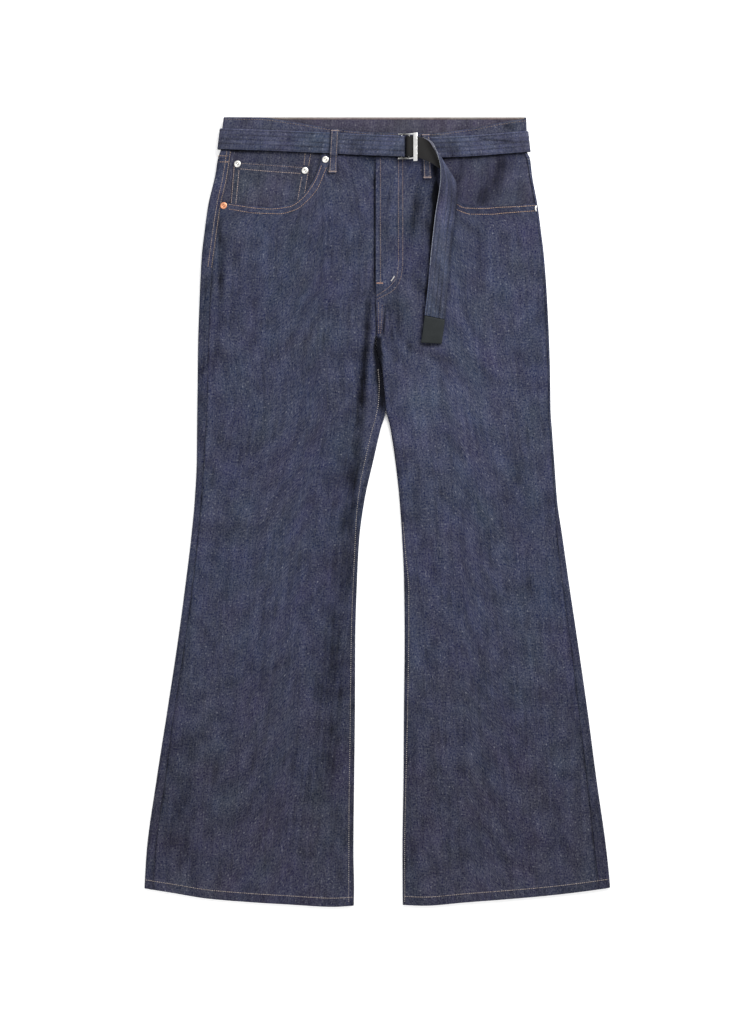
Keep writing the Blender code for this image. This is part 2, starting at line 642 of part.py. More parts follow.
def waistband():
    """Grid of the waistband; its left end laps over its right end at the centre front."""
    low = level("back", WAIST_Y)
    high = level("front", WAIST_Y)
    raised = high + BAND + GAP
    bottom_x = (BELT_EDGE_X[0] + BELT + GAP + BAND / 2, BELT_EDGE_X[1] - BELT - GAP - BAND / 2)
    top_x = (BAND_TOP_X[0] + BAND / 2, BAND_TOP_X[1] - BAND / 2)
    edges = []
    for place in (top_x, bottom_x):
        front_right_x = np.linspace(BAND_UNDERLAP_X, place[0] + BAND_FROM_SIDE, BAND_RIGHT_COLUMNS)
        front_right = np.stack((front_right_x, np.full(BAND_RIGHT_COLUMNS, high)), axis=1)
        run = np.linspace(place[1] - BAND_FROM_SIDE, BAND_LAP_START_X, BAND_LEFT_COLUMNS)
        front_left_x = np.concatenate((run, BAND_LAP_X))
        lap = 1.0 - ease(front_left_x, BAND_LAP_HOLD_X, BAND_LAP_DOWN_X)
        front_left = np.stack((front_left_x, high + (raised - high) * lap), axis=1)
        edges.append(ring_path(place[0], place[1], low, high, front_right, front_left))
    top, bottom = edges
    front = face_share(top, low, high)
    top_y = front * waist("top", top[:, 0]) + (1.0 - front) * BACK_TOP_Y
    bottom_y = front * waist("bottom", bottom[:, 0]) + (1.0 - front) * BACK_SEAM_Y
    share = np.linspace(0.0, 1.0, 3)[:, None]
    x = (1.0 - share) * top[:, 0] + share * bottom[:, 0]
    y = (1.0 - share) * top_y + share * bottom_y
    z = (1.0 - share) * top[:, 1] + share * bottom[:, 1]
    return np.stack((x, y, z), axis=-1)


def strap_middle(path, low, high):
    """Y of the belt's middle along its path."""
    front = face_share(path, low, high)
    return front * waist("belt", path[:, 0]) + (1.0 - front) * waist("belt_back", path[:, 0])


def belt_levels():
    """Heights of the belt's middle on the back and on the front."""
    low = level("back", WAIST_Y) - (BAND + BELT) / 2 - GAP
    high = level("front", WAIST_Y) + (BAND + BELT) / 2 + GAP
    return low, high


def belt_strap():
    """Grid of the belt from its loop round the buckle's left bar, round the waist, to the buckle."""
    low, high = belt_levels()
    top = BUCKLE_Z + BAR_TO_STRAP
    angle = np.linspace(-np.pi / 2, np.pi / 2, BAR_STEPS)
    bar = np.stack((LEFT_BAR_X + BAR_TO_STRAP * np.cos(angle), BUCKLE_Z + BAR_TO_STRAP * np.sin(angle)), 1)
    start = np.array([[LEFT_BAR_X - STRAP_END, BUCKLE_Z - BAR_TO_STRAP]])
    run_x = np.array(STRAP_RIGHT_X)
    run_z = high + (top - high) * ease(run_x, STRAP_RISE_X[0], STRAP_RISE_X[1])
    front_right = np.concatenate((start, bar, np.stack((run_x, run_z), axis=1)))
    left_x = np.array(STRAP_LEFT_X)
    front_left = np.stack((left_x, np.full(left_x.shape, high)), axis=1)
    right_middle = BELT_EDGE_X[0] + BELT / 2
    left_middle = BELT_EDGE_X[1] - BELT / 2
    path = ring_path(right_middle, left_middle, low, high, front_right, front_left)
    middle = strap_middle(path, low, high)
    share = np.linspace(1.0, -1.0, 3)[:, None]
    x = np.broadcast_to(path[:, 0], (3, len(path)))
    y = middle + share * BELT_HALF_WIDTH
    z = np.broadcast_to(path[:, 1], (3, len(path)))
    return np.stack((x, y, z), axis=-1)


def belt_tail():
    """Grid of the belt past the buckle: round the middle bar, folded over, then hanging down."""
    half_width = BELT_HALF_WIDTH - GAP
    angle = np.linspace(-np.pi / 2, -3 * np.pi / 2, BAR_STEPS)
    x = MIDDLE_BAR_X + BAR_TO_STRAP * np.cos(angle)
    z = BUCKLE_Z + BAR_TO_STRAP * np.sin(angle)
    x = np.concatenate(([MIDDLE_BAR_X + TAIL_START], x))
    z = np.concatenate(([z[0]], z))
    high = np.full(x.shape, BUCKLE_Y + half_width)
    lower = np.full(x.shape, BUCKLE_Y - half_width)
    wrap = np.stack((x, high, z, x, lower, z), axis=1)
    rows = np.concatenate((wrap, np.stack(list(TAIL.values()), axis=1)))
    number = np.arange(len(rows), dtype=float)
    finer = np.concatenate((number[:TAIL_FINE_ROW], np.arange(TAIL_FINE_ROW, number[-1] + 0.1, 0.5)))
    fine = np.stack([smooth(finer, number, rows[:, column]) for column in range(6)], axis=1)
    share = np.linspace(0.0, 1.0, 4)[None, :, None]
    upper = fine[:, None, :3]
    under = fine[:, None, 3:]
    return (1.0 - share) * upper + share * under


def belt_tip():
    """Grid of the dark end of the belt."""
    share = np.linspace(0.0, 1.0, 4)[None, :]
    ax, ay, bx, by = (column[:, None] for column in TIP_CORNERS.values())
    x = (1.0 - share) * ax + share * bx
    y = (1.0 - share) * ay + share * by
    z = np.full(x.shape, TIP_LEVEL)
    return np.stack((x, y, z), axis=-1)


def front_loop(top_x, bottom_x, top_y, bottom_y):
    """Grid of a belt loop on the front, from the waistband over the belt to the front panel."""
    high = belt_levels()[1]
    belt_y = waist("belt", (top_x + bottom_x) / 2)
    over_belt = high + (BELT + LOOP) / 2 + GAP
    on_band = high - BELT / 2 - GAP + LOOP / 2 + GAP
    upper = belt_y + BELT_HALF_WIDTH
    lower = belt_y - BELT_HALF_WIDTH
    raise_panel = (CLOTH + LOOP) / 2 + GAP + EASE / 2
    below = np.linspace(lower - LOOP_DROP, bottom_y, 3)
    over = [upper + LOOP_PAST_BELT, belt_y, lower - LOOP_PAST_BELT]
    y = np.concatenate(([top_y, upper + LOOP_BEND], over, below))
    over_front = level("front", below) + raise_panel
    z = np.concatenate(([on_band, on_band, over_belt, over_belt, over_belt], over_front))
    return strip_grid(y, z, top_x, bottom_x)


def back_loop(x):
    """Grid of a belt loop underneath, from the waistband under the belt to the yoke."""
    low = belt_levels()[0]
    belt_y = waist("belt_back", x)
    under_belt = low - (BELT + LOOP) / 2 - GAP
    on_band = level("back", WAIST_Y) - BAND / 2 - GAP - LOOP / 2
    upper = belt_y + BELT_HALF_WIDTH
    lower = belt_y - BELT_HALF_WIDTH
    below = np.array(BACK_LOOP_END_Y)
    above = [upper + distance for distance in BACK_LOOP_TOP]
    under = [upper + LOOP_PAST_BELT, belt_y, lower - LOOP_PAST_BELT, lower - BACK_LOOP_DROP]
    y = np.concatenate((above, under, below))
    on_yoke = level("back", below) - (CLOTH + LOOP) / 2 - GAP
    z = np.concatenate(([on_band, on_band, under_belt, under_belt, under_belt, BACK_LOOP_BEND_Z], on_yoke))
    return strip_grid(y, z, x, x)


def strip_grid(y, z, top_x, bottom_x):
    """A narrow strip down Y with its middle at the given heights."""
    share = (y - y[0]) / (y[-1] - y[0])
    middle = top_x + (bottom_x - top_x) * share
    across = np.linspace(-1.0, 1.0, 3)
    x = middle[:, None] + across * LOOP_HALF_WIDTH
    return np.stack((x, np.repeat(y[:, None], 3, axis=1), np.repeat(z[:, None], 3, axis=1)), axis=-1)


# ---------------------------------------------------------------- making the objects
def clear_scene():
    """Start from an empty file."""
    for thing in list(bpy.data.objects):
        bpy.data.objects.remove(thing)


def finish_material(name, colour, roughness, metallic):
    """One Principled material."""
    material = bpy.data.materials.new(name)
    material.use_nodes = True
    shader = material.node_tree.nodes["Principled BSDF"]
    shader.inputs["Base Color"].default_value = (*colour, 1.0)
    shader.inputs["Roughness"].default_value = roughness
    shader.inputs["Metallic"].default_value = metallic
    return material


def place(thing, collection, colour, roughness, metallic):
    """Put an object in the part's collection with a material of its own."""
    thing.data.materials.append(finish_material(thing.name, colour, roughness, metallic))
    collection.objects.link(thing)
    return thing


def wall(name, grid, thickness, colour, collection):
    """A cloth wall: an open grid of places, given its thickness evenly on both sides."""
    rows, columns = grid.shape[:2]
    corner = np.arange(rows * columns).reshape(rows, columns)
    faces = np.stack((corner[:-1, :-1], corner[1:, :-1], corner[1:, 1:], corner[:-1, 1:]), axis=-1)
    mesh = bpy.data.meshes.new(name)
    mesh.from_pydata((grid.reshape(-1, 3) * MM).tolist(), [], faces.reshape(-1, 4).tolist())
    mesh.shade_smooth()
    thing = bpy.data.objects.new(name, mesh)
    solidify = thing.modifiers.new("Thickness", "SOLIDIFY")
    solidify.thickness = thickness * MM
    solidify.offset = 0.0
    solidify.use_even_offset = True
    return place(thing, collection, colour, 0.9, 0.0)


def turned(name, profile, centre, colour, collection):
    """A small round piece: a profile of radius and height, turned about its own axis."""
    mesh = bpy.data.meshes.new(name)
    points = [(radius * MM, 0.0, height * MM) for radius, height in profile]
    mesh.from_pydata(points, [(i, i + 1) for i in range(len(points) - 1)], [])
    thing = bpy.data.objects.new(name, mesh)
    thing.location = [value * MM for value in centre]
    screw = thing.modifiers.new("Turn", "SCREW")
    screw.steps = 12
    screw.render_steps = 12
    screw.use_merge_vertices = True
    screw.merge_threshold = 0.00001
    screw.use_smooth_shade = True
    return place(thing, collection, colour, 0.3, 1.0)


def dome(radius, height):
    """Profile of a low dome, from the middle of its top over its rim to the middle of its base."""
    return [(0.0, height), (0.55 * radius, 0.93 * height), (0.88 * radius, 0.66 * height),
            (radius, 0.3 * height), (0.96 * radius, 0.0), (0.0, 0.0)]


def rod(start, end, radius):
    """A straight round rod between two points."""
    mesh = bpy.data.meshes.new("rod")
    run = np.array(end) - np.array(start)
    length = float(np.linalg.norm(run))
    turn = vector(run).to_track_quat("Z", "Y").to_matrix().to_4x4()
    middle = vector((np.array(start) + np.array(end)) / 2 * MM)
    shape = bmesh.new()
    bmesh.ops.create_cone(shape, cap_ends=True, segments=12, radius1=radius * MM, radius2=radius * MM,
                          depth=length * MM)
    bmesh.ops.transform(shape, matrix=turn, verts=shape.verts)
    bmesh.ops.translate(shape, vec=middle, verts=shape.verts)
    shape.to_mesh(mesh)
    shape.free()
    return bpy.data.objects.new("rod", mesh)


def vector(values):
    """A plain sequence as Blender's vector type."""
    return Vector([float(value) for value in values])


def flat_bar():
    """The buckle's wide flat bar, with softened edges."""
    mesh = bpy.data.meshes.new("belt_buckle")
    shape = bmesh.new()
    bmesh.ops.create_cube(shape, size=1.0)
    size = (FLAT_BAR_X[1] - FLAT_BAR_X[0], 2 * FLAT_BAR_REACH, FLAT_BAR_Z[1] - FLAT_BAR_Z[0])
    centre = (sum(FLAT_BAR_X) / 2, BUCKLE_Y, sum(FLAT_BAR_Z) / 2)
    bmesh.ops.scale(shape, vec=vector(size) * MM, verts=shape.verts)
    bmesh.ops.translate(shape, vec=vector(centre) * MM, verts=shape.verts)
    bmesh.ops.bevel(shape, geom=shape.edges[:], offset=BAR_EDGE * MM, segments=2, affect="EDGES")
    shape.to_mesh(mesh)
    shape.free()
    return bpy.data.objects.new("belt_buckle", mesh)


def belt_buckle(collection, cutters):
    """The buckle: two bars and two rods joined to the flat bar."""
    frame_top = BUCKLE_Y + ROD_REACH
    frame_low = BUCKLE_Y - ROD_REACH
    bar_end_z = sum(FLAT_BAR_Z) / 2
    body = flat_bar()
    pieces = [rod((LEFT_BAR_X, frame_low, BUCKLE_Z), (LEFT_BAR_X, frame_top, BUCKLE_Z), BAR_RADIUS),
              rod((MIDDLE_BAR_X, frame_low, BUCKLE_Z), (MIDDLE_BAR_X, frame_top, BUCKLE_Z), BAR_RADIUS)]
    for y, radius in ((frame_top, TOP_ROD_RADIUS), (frame_low, LOW_ROD_RADIUS)):
        rod_end = (MIDDLE_BAR_X + ROD_PAST_BAR, y, BUCKLE_Z)
        joint_start = (MIDDLE_BAR_X + JOINT_START, y, BUCKLE_Z)
        joint_end = (FLAT_BAR_X[0] + JOINT_END, y, bar_end_z)
        pieces.append(rod((ROD_START_X, y, BUCKLE_Z), rod_end, radius))
        pieces.append(rod(joint_start, joint_end, radius * JOINT_SIZE))
    for number, piece in enumerate(pieces):
        piece.name = "buckle_joint_%d" % number
        piece.hide_render = True
        piece.display_type = "WIRE"
        cutters.objects.link(piece)
        union = body.modifiers.new("Join %d" % number, "BOOLEAN")
        union.operation = "UNION"
        union.solver = "EXACT"
        union.object = piece
    return place(body, collection, SILVER, 0.12, 1.0)


def rivet_height(kind, x, y):
    """Top of the cloth under a rivet."""
    side = "r" if x < CENTRE_X else "l"
    reach = RIVET_RADIUS * np.linspace(0.0, 1.0, 3)[None, :]
    angle = np.linspace(0.0, 2 * np.pi, 13)[:, None]
    heights = front_height(side, x + reach * np.cos(angle), y + reach * np.sin(angle))
    depth = LAP if kind == "coin" else 0.0
    return float(heights.max()) - depth + CLOTH / 2 + GAP


def build():
    """Make every piece of the jeans and the belt."""
    clear_scene()
    jeans = bpy.data.collections.new("wide_leg_jeans")
    cutters = bpy.data.collections.new("cutters")
    bpy.context.scene.collection.children.link(jeans)
    bpy.context.scene.collection.children.link(cutters)

    for side, name, colour in (("r", "right", DENIM_RIGHT), ("l", "left", DENIM_LEFT)):
        wall("front_" + name, front_panel(side), CLOTH, colour, jeans)
        wall("back_" + name, back_panel(side), CLOTH, colour, jeans)
        wall("yoke_" + name, yoke(side), CLOTH, colour, jeans)
        wall("pocket_facing_" + name, facing(side), CLOTH, colour, jeans)
        wall("back_pocket_" + name, back_pocket(side), CLOTH, colour, jeans)
    wall("coin_pocket", coin_pocket(), CLOTH, DENIM_RIGHT, jeans)
    wall("waistband", waistband(), BAND, DENIM_LEFT, jeans)

    wall("belt_loop_front_right", front_loop(*FRONT_LOOPS["right"]), LOOP, DENIM_RIGHT, jeans)
    wall("belt_loop_front_left", front_loop(*FRONT_LOOPS["left"]), LOOP, DENIM_LEFT, jeans)
    for name, x in zip(("right", "centre", "left"), BACK_LOOP_X):
        wall("belt_loop_back_" + name, back_loop(x), LOOP, DENIM_LEFT, jeans)

    wall("belt_strap", belt_strap(), BELT, DENIM_BELT, jeans)
    wall("belt_tail", belt_tail(), BELT, DENIM_BELT, jeans)
    wall("belt_tip", belt_tip(), TIP, DARK_BACKING, jeans)
    belt_buckle(jeans, cutters)

    button_z = level("front", WAIST_Y) + 1.5 * BAND + 2 * GAP
    button_centre = (*BUTTON_PLACE, button_z)
    turned("waist_button", dome(BUTTON_RADIUS, BUTTON_HEIGHT), button_centre, COPPER, jeans)
    for name, (x, y, kind) in RIVETS.items():
        colour = COPPER if name == "rivet_right_outer" else SILVER
        turned(name, dome(RIVET_RADIUS, RIVET_HEIGHT), (x, y, rivet_height(kind, x, y)), colour, jeans)


build()
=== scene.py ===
# %% [markdown]
# # Wide leg jeans laid flat
#
# A pair of raw denim jeans lies on a pale surface, front up, with its own belt done up. Every cut
# piece is one sheet of cloth. Each is worked out as a grid of points with numpy, because cloth is a
# surface with two directions, and the Solidify modifier then gives it the denim's thickness. The
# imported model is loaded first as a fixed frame, and each sheet stands for the plain solid of the
# same piece.

import bpy
import numpy as np
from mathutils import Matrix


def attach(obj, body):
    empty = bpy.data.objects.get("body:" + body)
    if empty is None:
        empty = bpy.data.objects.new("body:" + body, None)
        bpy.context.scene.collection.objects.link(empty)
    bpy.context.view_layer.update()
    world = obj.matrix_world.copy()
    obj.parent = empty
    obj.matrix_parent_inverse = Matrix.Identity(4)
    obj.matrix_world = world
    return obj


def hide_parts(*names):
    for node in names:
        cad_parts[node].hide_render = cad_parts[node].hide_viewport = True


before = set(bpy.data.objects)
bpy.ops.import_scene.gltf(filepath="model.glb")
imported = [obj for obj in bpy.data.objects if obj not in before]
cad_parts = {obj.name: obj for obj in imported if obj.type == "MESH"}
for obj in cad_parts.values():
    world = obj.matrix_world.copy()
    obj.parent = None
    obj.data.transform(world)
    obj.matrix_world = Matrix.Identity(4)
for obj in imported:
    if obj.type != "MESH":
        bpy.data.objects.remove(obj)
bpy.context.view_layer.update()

random = np.random.default_rng(11)

# %% [markdown]
# ## Camera, surface and light
#
# The photograph looks straight down from far away. Its scale is known from the width of the waist,
# so the camera's lens follows from its height. Two large soft lights stand for a photographer's
# soft boxes: the key is towards the waist and the wearer's left, and the fill is opposite.

# %% Camera and lights
MM = 0.001
PIXEL = 1.386                       # millimetres to a pixel of the photograph
PHOTO_HEIGHT = 1024
CAMERA_HEIGHT = 4.2                 # metres
CAMERA_X = -0.0164
SENSOR = 36.0
CLOTH_TOP = 0.008                   # height of most of the cloth, in metres

camera_data = bpy.data.cameras.new("camera")
camera_data.sensor_width = SENSOR
camera_data.lens = SENSOR * (CAMERA_HEIGHT - CLOTH_TOP) / (PHOTO_HEIGHT * PIXEL * MM)
camera = bpy.data.objects.new("camera", camera_data)
camera.location = (CAMERA_X, 0.0, CAMERA_HEIGHT)
bpy.context.scene.collection.objects.link(camera)
bpy.context.scene.camera = camera
bpy.context.scene.view_settings.view_transform = "Standard"


def soft_box(name, place, size, power):
    """A square area light that looks at the middle of the jeans."""
    data = bpy.data.lights.new(name, "AREA")
    data.size = size
    data.energy = power
    light = bpy.data.objects.new(name, data)
    light.location = place
    aim = camera.location.copy()
    aim.z = 0.0
    light.rotation_euler = (aim - light.location).to_track_quat("-Z", "Y").to_euler()
    bpy.context.scene.collection.objects.link(light)


soft_box("key_light", (1.5, 2.1, 1.9), size=1.8, power=124.0)
soft_box("fill_light", (-1.7, -1.2, 2.4), size=2.2, power=34.0)

world = bpy.data.worlds.new("studio")
world.use_nodes = True
background = world.node_tree.nodes["Background"]
background.inputs["Color"].default_value = (1.0, 1.0, 1.0, 1.0)
background.inputs["Strength"].default_value = 0.64
bpy.context.scene.world = world
print("lens %.1f mm" % camera_data.lens)

# %% Floor
FLOOR_REACH = 9.0
FLOOR_Z = -0.0003                   # just under the cloth, so that the two never share a face
CROTCH_PLACE = (0.003, 0.195, 0.0)
NO_GLOW_REACH = (0.06, 0.13)        # the floor's faint glow starts this far from the crotch
floor_mesh = bpy.data.meshes.new("floor")
floor_mesh.from_pydata([(x * FLOOR_REACH, y * FLOOR_REACH, FLOOR_Z)
                        for x, y in ((-1, -1), (1, -1), (1, 1), (-1, 1))], [], [(0, 1, 2, 3)])
floor = bpy.data.objects.new("floor", floor_mesh)
bpy.context.scene.collection.objects.link(floor)
floor_material = bpy.data.materials.new("floor")
floor_material.use_nodes = True
floor_tree = floor_material.node_tree
floor_shader = floor_tree.nodes["Principled BSDF"]
floor_shader.inputs["Base Color"].default_value = (0.9, 0.9, 0.9, 1.0)
floor_shader.inputs["Roughness"].default_value = 0.9
# painted light: the floor glows faintly, so that the jeans' shadows on it fade to white; the glow is kept
# away from the crotch, so that the gap between the legs stays dark
floor_shader.inputs["Emission Strength"].default_value = 0.3
floor_place = floor_tree.nodes.new("ShaderNodeTexCoord")
from_crotch = floor_tree.nodes.new("ShaderNodeVectorMath")
from_crotch.operation = "DISTANCE"
from_crotch.inputs[1].default_value = CROTCH_PLACE
softly = floor_tree.nodes.new("ShaderNodeMapRange")
softly.inputs["From Min"].default_value = NO_GLOW_REACH[0]
softly.inputs["From Max"].default_value = NO_GLOW_REACH[1]
floor_tree.links.new(floor_place.outputs["Object"], from_crotch.inputs[0])
floor_tree.links.new(from_crotch.outputs["Value"], softly.inputs["Value"])
floor_tree.links.new(softly.outputs["Result"], floor_shader.inputs["Emission Color"])
floor_mesh.materials.append(floor_material)
print("floor at %.4f m" % FLOOR_Z)

# %% [markdown]
# ## Sizes and tables
#
# Lengths are millimetres from here on, and become metres when a mesh is made. The outlines are
# short tables: a row for each height where the outline bends, and a smooth curve runs through the
# rows. "r" is the wearer's right leg, which lies at negative X, and "l" is the left.

# %% Sizes
CLOTH = 1.4                         # one wall of denim
GAP = 0.3                           # between neighbouring pieces
BAND = 2.6                          # waistband, two layers
BELT = 2.6                          # belt strap, denim on a dark backing
LOOP = 1.6                          # belt loop, folded denim
TIP = 3.0                           # dark end of the belt
LAP = CLOTH + GAP                   # from one layer of denim to the next
EASE = 0.35                         # more room where several layers meet

CENTRE_X = -2.0                     # the centre seams
CROTCH_Y = 203.0                    # each leg is its own tube below this
CROTCH_RUN = 37.0                   # and both are one tube this far above it
FLY_END_Y = 293.0
UNDERLAP_X = 10.0                   # the right front runs on under the fly to here
HEM_START_Y = -490.0                # the rows of a leg's grid follow the curved hem below this
POCKET_LINE_Y = 390.0               # and the waist and pocket mouth above this
HEM_DEPTH = 12.4                    # hem's edge to the start of the single layer
HEM_SEWING = HEM_DEPTH - 0.4        # and to the hem's stitching
ROW_STEP = 4.4                      # between the grid rows down a leg

BELT_HALF_WIDTH = 14.5
BELT_EDGE_X = (-220.2, 211.0)       # outside of the belt at the sides of the waist
BAND_TOP_X = (-213.2, 206.5)        # outside of the waistband's top edge there
BACK_TOP_Y = 547.3                  # top edge of the waistband behind
BACK_SEAM_Y = 507.5                 # and its seam to the yokes
BUCKLE_Y = 505.9
BUCKLE_Z = 15.5                     # height of the two round bars
LEFT_BAR_X = 33.6                   # the strap is sewn round this bar
ROD_START_X = 28.2
MIDDLE_BAR_X = 43.7                 # the tail comes up round this one
BAR_TO_STRAP = 2.85                 # from a bar's middle to the middle of the strap round it
LOOP_HALF_WIDTH = 5.4


def table(columns, rows):
    """Rows of numbers as one array for each named column."""
    values = np.array(rows, dtype=float)
    return {name: values[:, index] for index, name in enumerate(columns.split())}


print("walls: denim %.1f mm, waistband %.1f mm, belt %.1f mm" % (CLOTH, BAND, BELT))

# %% Outline tables
LEVELS = table("y back front", [
    (510, 6.1, 9.7), (498, 6.1, 9.7), (487, 4.2, 9.6), (474, 3.3, 8.8), (463, 2.7, 8.1),
    (451, 2.4, 7.7), (412, 2.4, 7.7), (391, 2.4, 7.5), (312, 2.4, 6.6), (278, 0.8, 5.4),
    (245, 0.7, 5), (-550, 0.7, 5)])

SECTIONS = table("y r_edge r_over r_inner l_inner l_edge l_over", [
    (508, -216.8, 14, -2.5, -1.5, 207.4, 4.6),
    (502, -217, 14, -2.5, -1.5, 207.6, 4.5),
    (498, -218.3, 14.8, -2.5, -1.5, 207.9, 4.5),
    (490, -221, 16, -2.5, -1.5, 211.8, 4.5),
    (466, -225, 16.3, -2.5, -1.5, 214.8, 3.6),
    (426, -234.5, 17.3, -2.5, -1.5, 222.2, 3.2),
    (391, -239.4, 16.7, -2.5, -1.5, 226.9, 3.2),
    (355, -243.6, 16, -2.5, -1.5, 231.2, 3.2),
    (291, -246.8, 14.8, -2.5, -1.5, 235.9, 3.2),
    (232, -248.8, 14.4, -2.5, -1.5, 238.7, 3.2),
    (203, -249.2, 14.3, 4.2, 5.2, 239.6, 3.2),
    (172, -249.5, 14, 9.2, 10.3, 240.1, 3.2),
    (142, -249.9, 13.5, 11.6, 12.8, 240.5, 3.2),
    (114, -250.2, 12.2, 4.3, 18.4, 242.4, 3.2),
    (72, -250.6, 10.1, -5.3, 24.6, 245.5, 3.2),
    (17, -253.4, 9.3, -17.6, 30.7, 249.5, 3.4),
    (-38, -258.6, 9.8, -25, 34.4, 257.4, 7.6),
    (-94, -265.4, 10.3, -28, 36.9, 265.3, 9.2),
    (-177, -276.5, 10.2, -30.5, 37.8, 277.6, 10.2),
    (-274, -291.2, 10.2, -30.9, 36.9, 291.5, 12.2),
    (-371, -306.3, 12.2, -32, 36.2, 304.2, 13.6),
    (-472, -320.2, 12.6, -33, 34.8, 318.3, 16.4),
    (-522, -323.2, 12, -32.2, 35, 323.2, 15.2),
    (-550, -324.8, 12, -32.6, 35.3, 324.8, 15)])

HEMS = table("across right left", [
    (0.00, -522, -521), (0.15, -529, -527), (0.30, -536, -532), (0.50, -541, -537),
    (0.70, -544.5, -541.5), (0.90, -547.6, -546), (1.00, -546, -545)])

MOUTHS = table("r_x r_y l_x l_y", [
    (-217, 428.7, 221, 428), (-176, 425, 174, 423.4), (-150, 422.6, 138, 423.6),
    (-124, 425.5, 119, 427.5), (-104.6, 437.7, 105, 439), (-89, 459.2, 95.5, 459.2),
    (-79.4, 481.4, 90.3, 480), (-75.3, 497.2, 88.5, 491.8)])

FACINGS = table("r_x r_y l_x l_y", [
    (-219, 404, 222, 404), (-150, 402, 134, 404), (-118, 405, 112, 409),
    (-92, 419, 93, 422), (-76, 443, 80, 446), (-66, 471, 75, 473)])

COIN_POCKET = table("x y", [(-196.5, 486), (-94, 479.5), (-105, 414), (-204.5, 414)])

WAIST = table("x top bottom belt belt_back", [
    (-219, 547.1, 505.6, 516.8, 516.8), (-165, 546.8, 502.8, 514.9, 519.5),
    (-121, 541, 500.1, 513.2, 521.6), (-60, 531.2, 496.6, 510.4, 523.8),
    (-2, 525.4, 493.4, 507.2, 524.3), (73, 524.7, 491.8, 504.8, 523),
    (127, 530.8, 494.5, 506.6, 520.2), (175, 540.3, 500.1, 510.2, 516.8),
    (211, 545.8, 503.5, 513.2, 513.2)])

YOKE_SEAM = table("across y", [(0, 489.5), (0.1, 488), (0.6, 464), (1, 447)])
print("rows of the leg sections:", len(SECTIONS["y"]))

# %% [markdown]
# ## Folds and creases
#
# Stiff new denim keeps the marks of how it was laid down: a deep trough beside the fly that runs on
# down the right leg, creases that fan out from the crotch, and shallow dents at the hips and hems.
# Each is one bent stroke with a start, a middle and an end, so that it can be placed by hand. The
# height is how far it rises (or sinks), and the tone is painted shade where it is below zero and a
# painted highlight where it is above: how much darker (or lighter) the cloth is coloured there, for
# the light that stays out of a crease and the shadows that other parts cast on it.

# %% Large folds
FOLDS = table("x0 y0 x1 y1 half_width height", [
    (-12, 248, -45, 12, 11, -1.7), (-4, 190, -30, 60, 8, 0.6),
    (14, 292, 36, 225, 9, -1), (28, 240, 70, 130, 12, -0.8),
    (60, 330, 92, 250, 14, -0.9), (130, 400, 190, 330, 16, 0.7),
    (-214, 384, -222, 240, 8, -0.9), (-140, 20, -175, -330, 24, 0.9),
    (150, 20, 190, -330, 26, 0.8), (-70, -120, -80, -420, 20, -0.7),
    (90, -160, 84, -430, 20, -0.7)])

print("large folds:", len(FOLDS["x0"]))
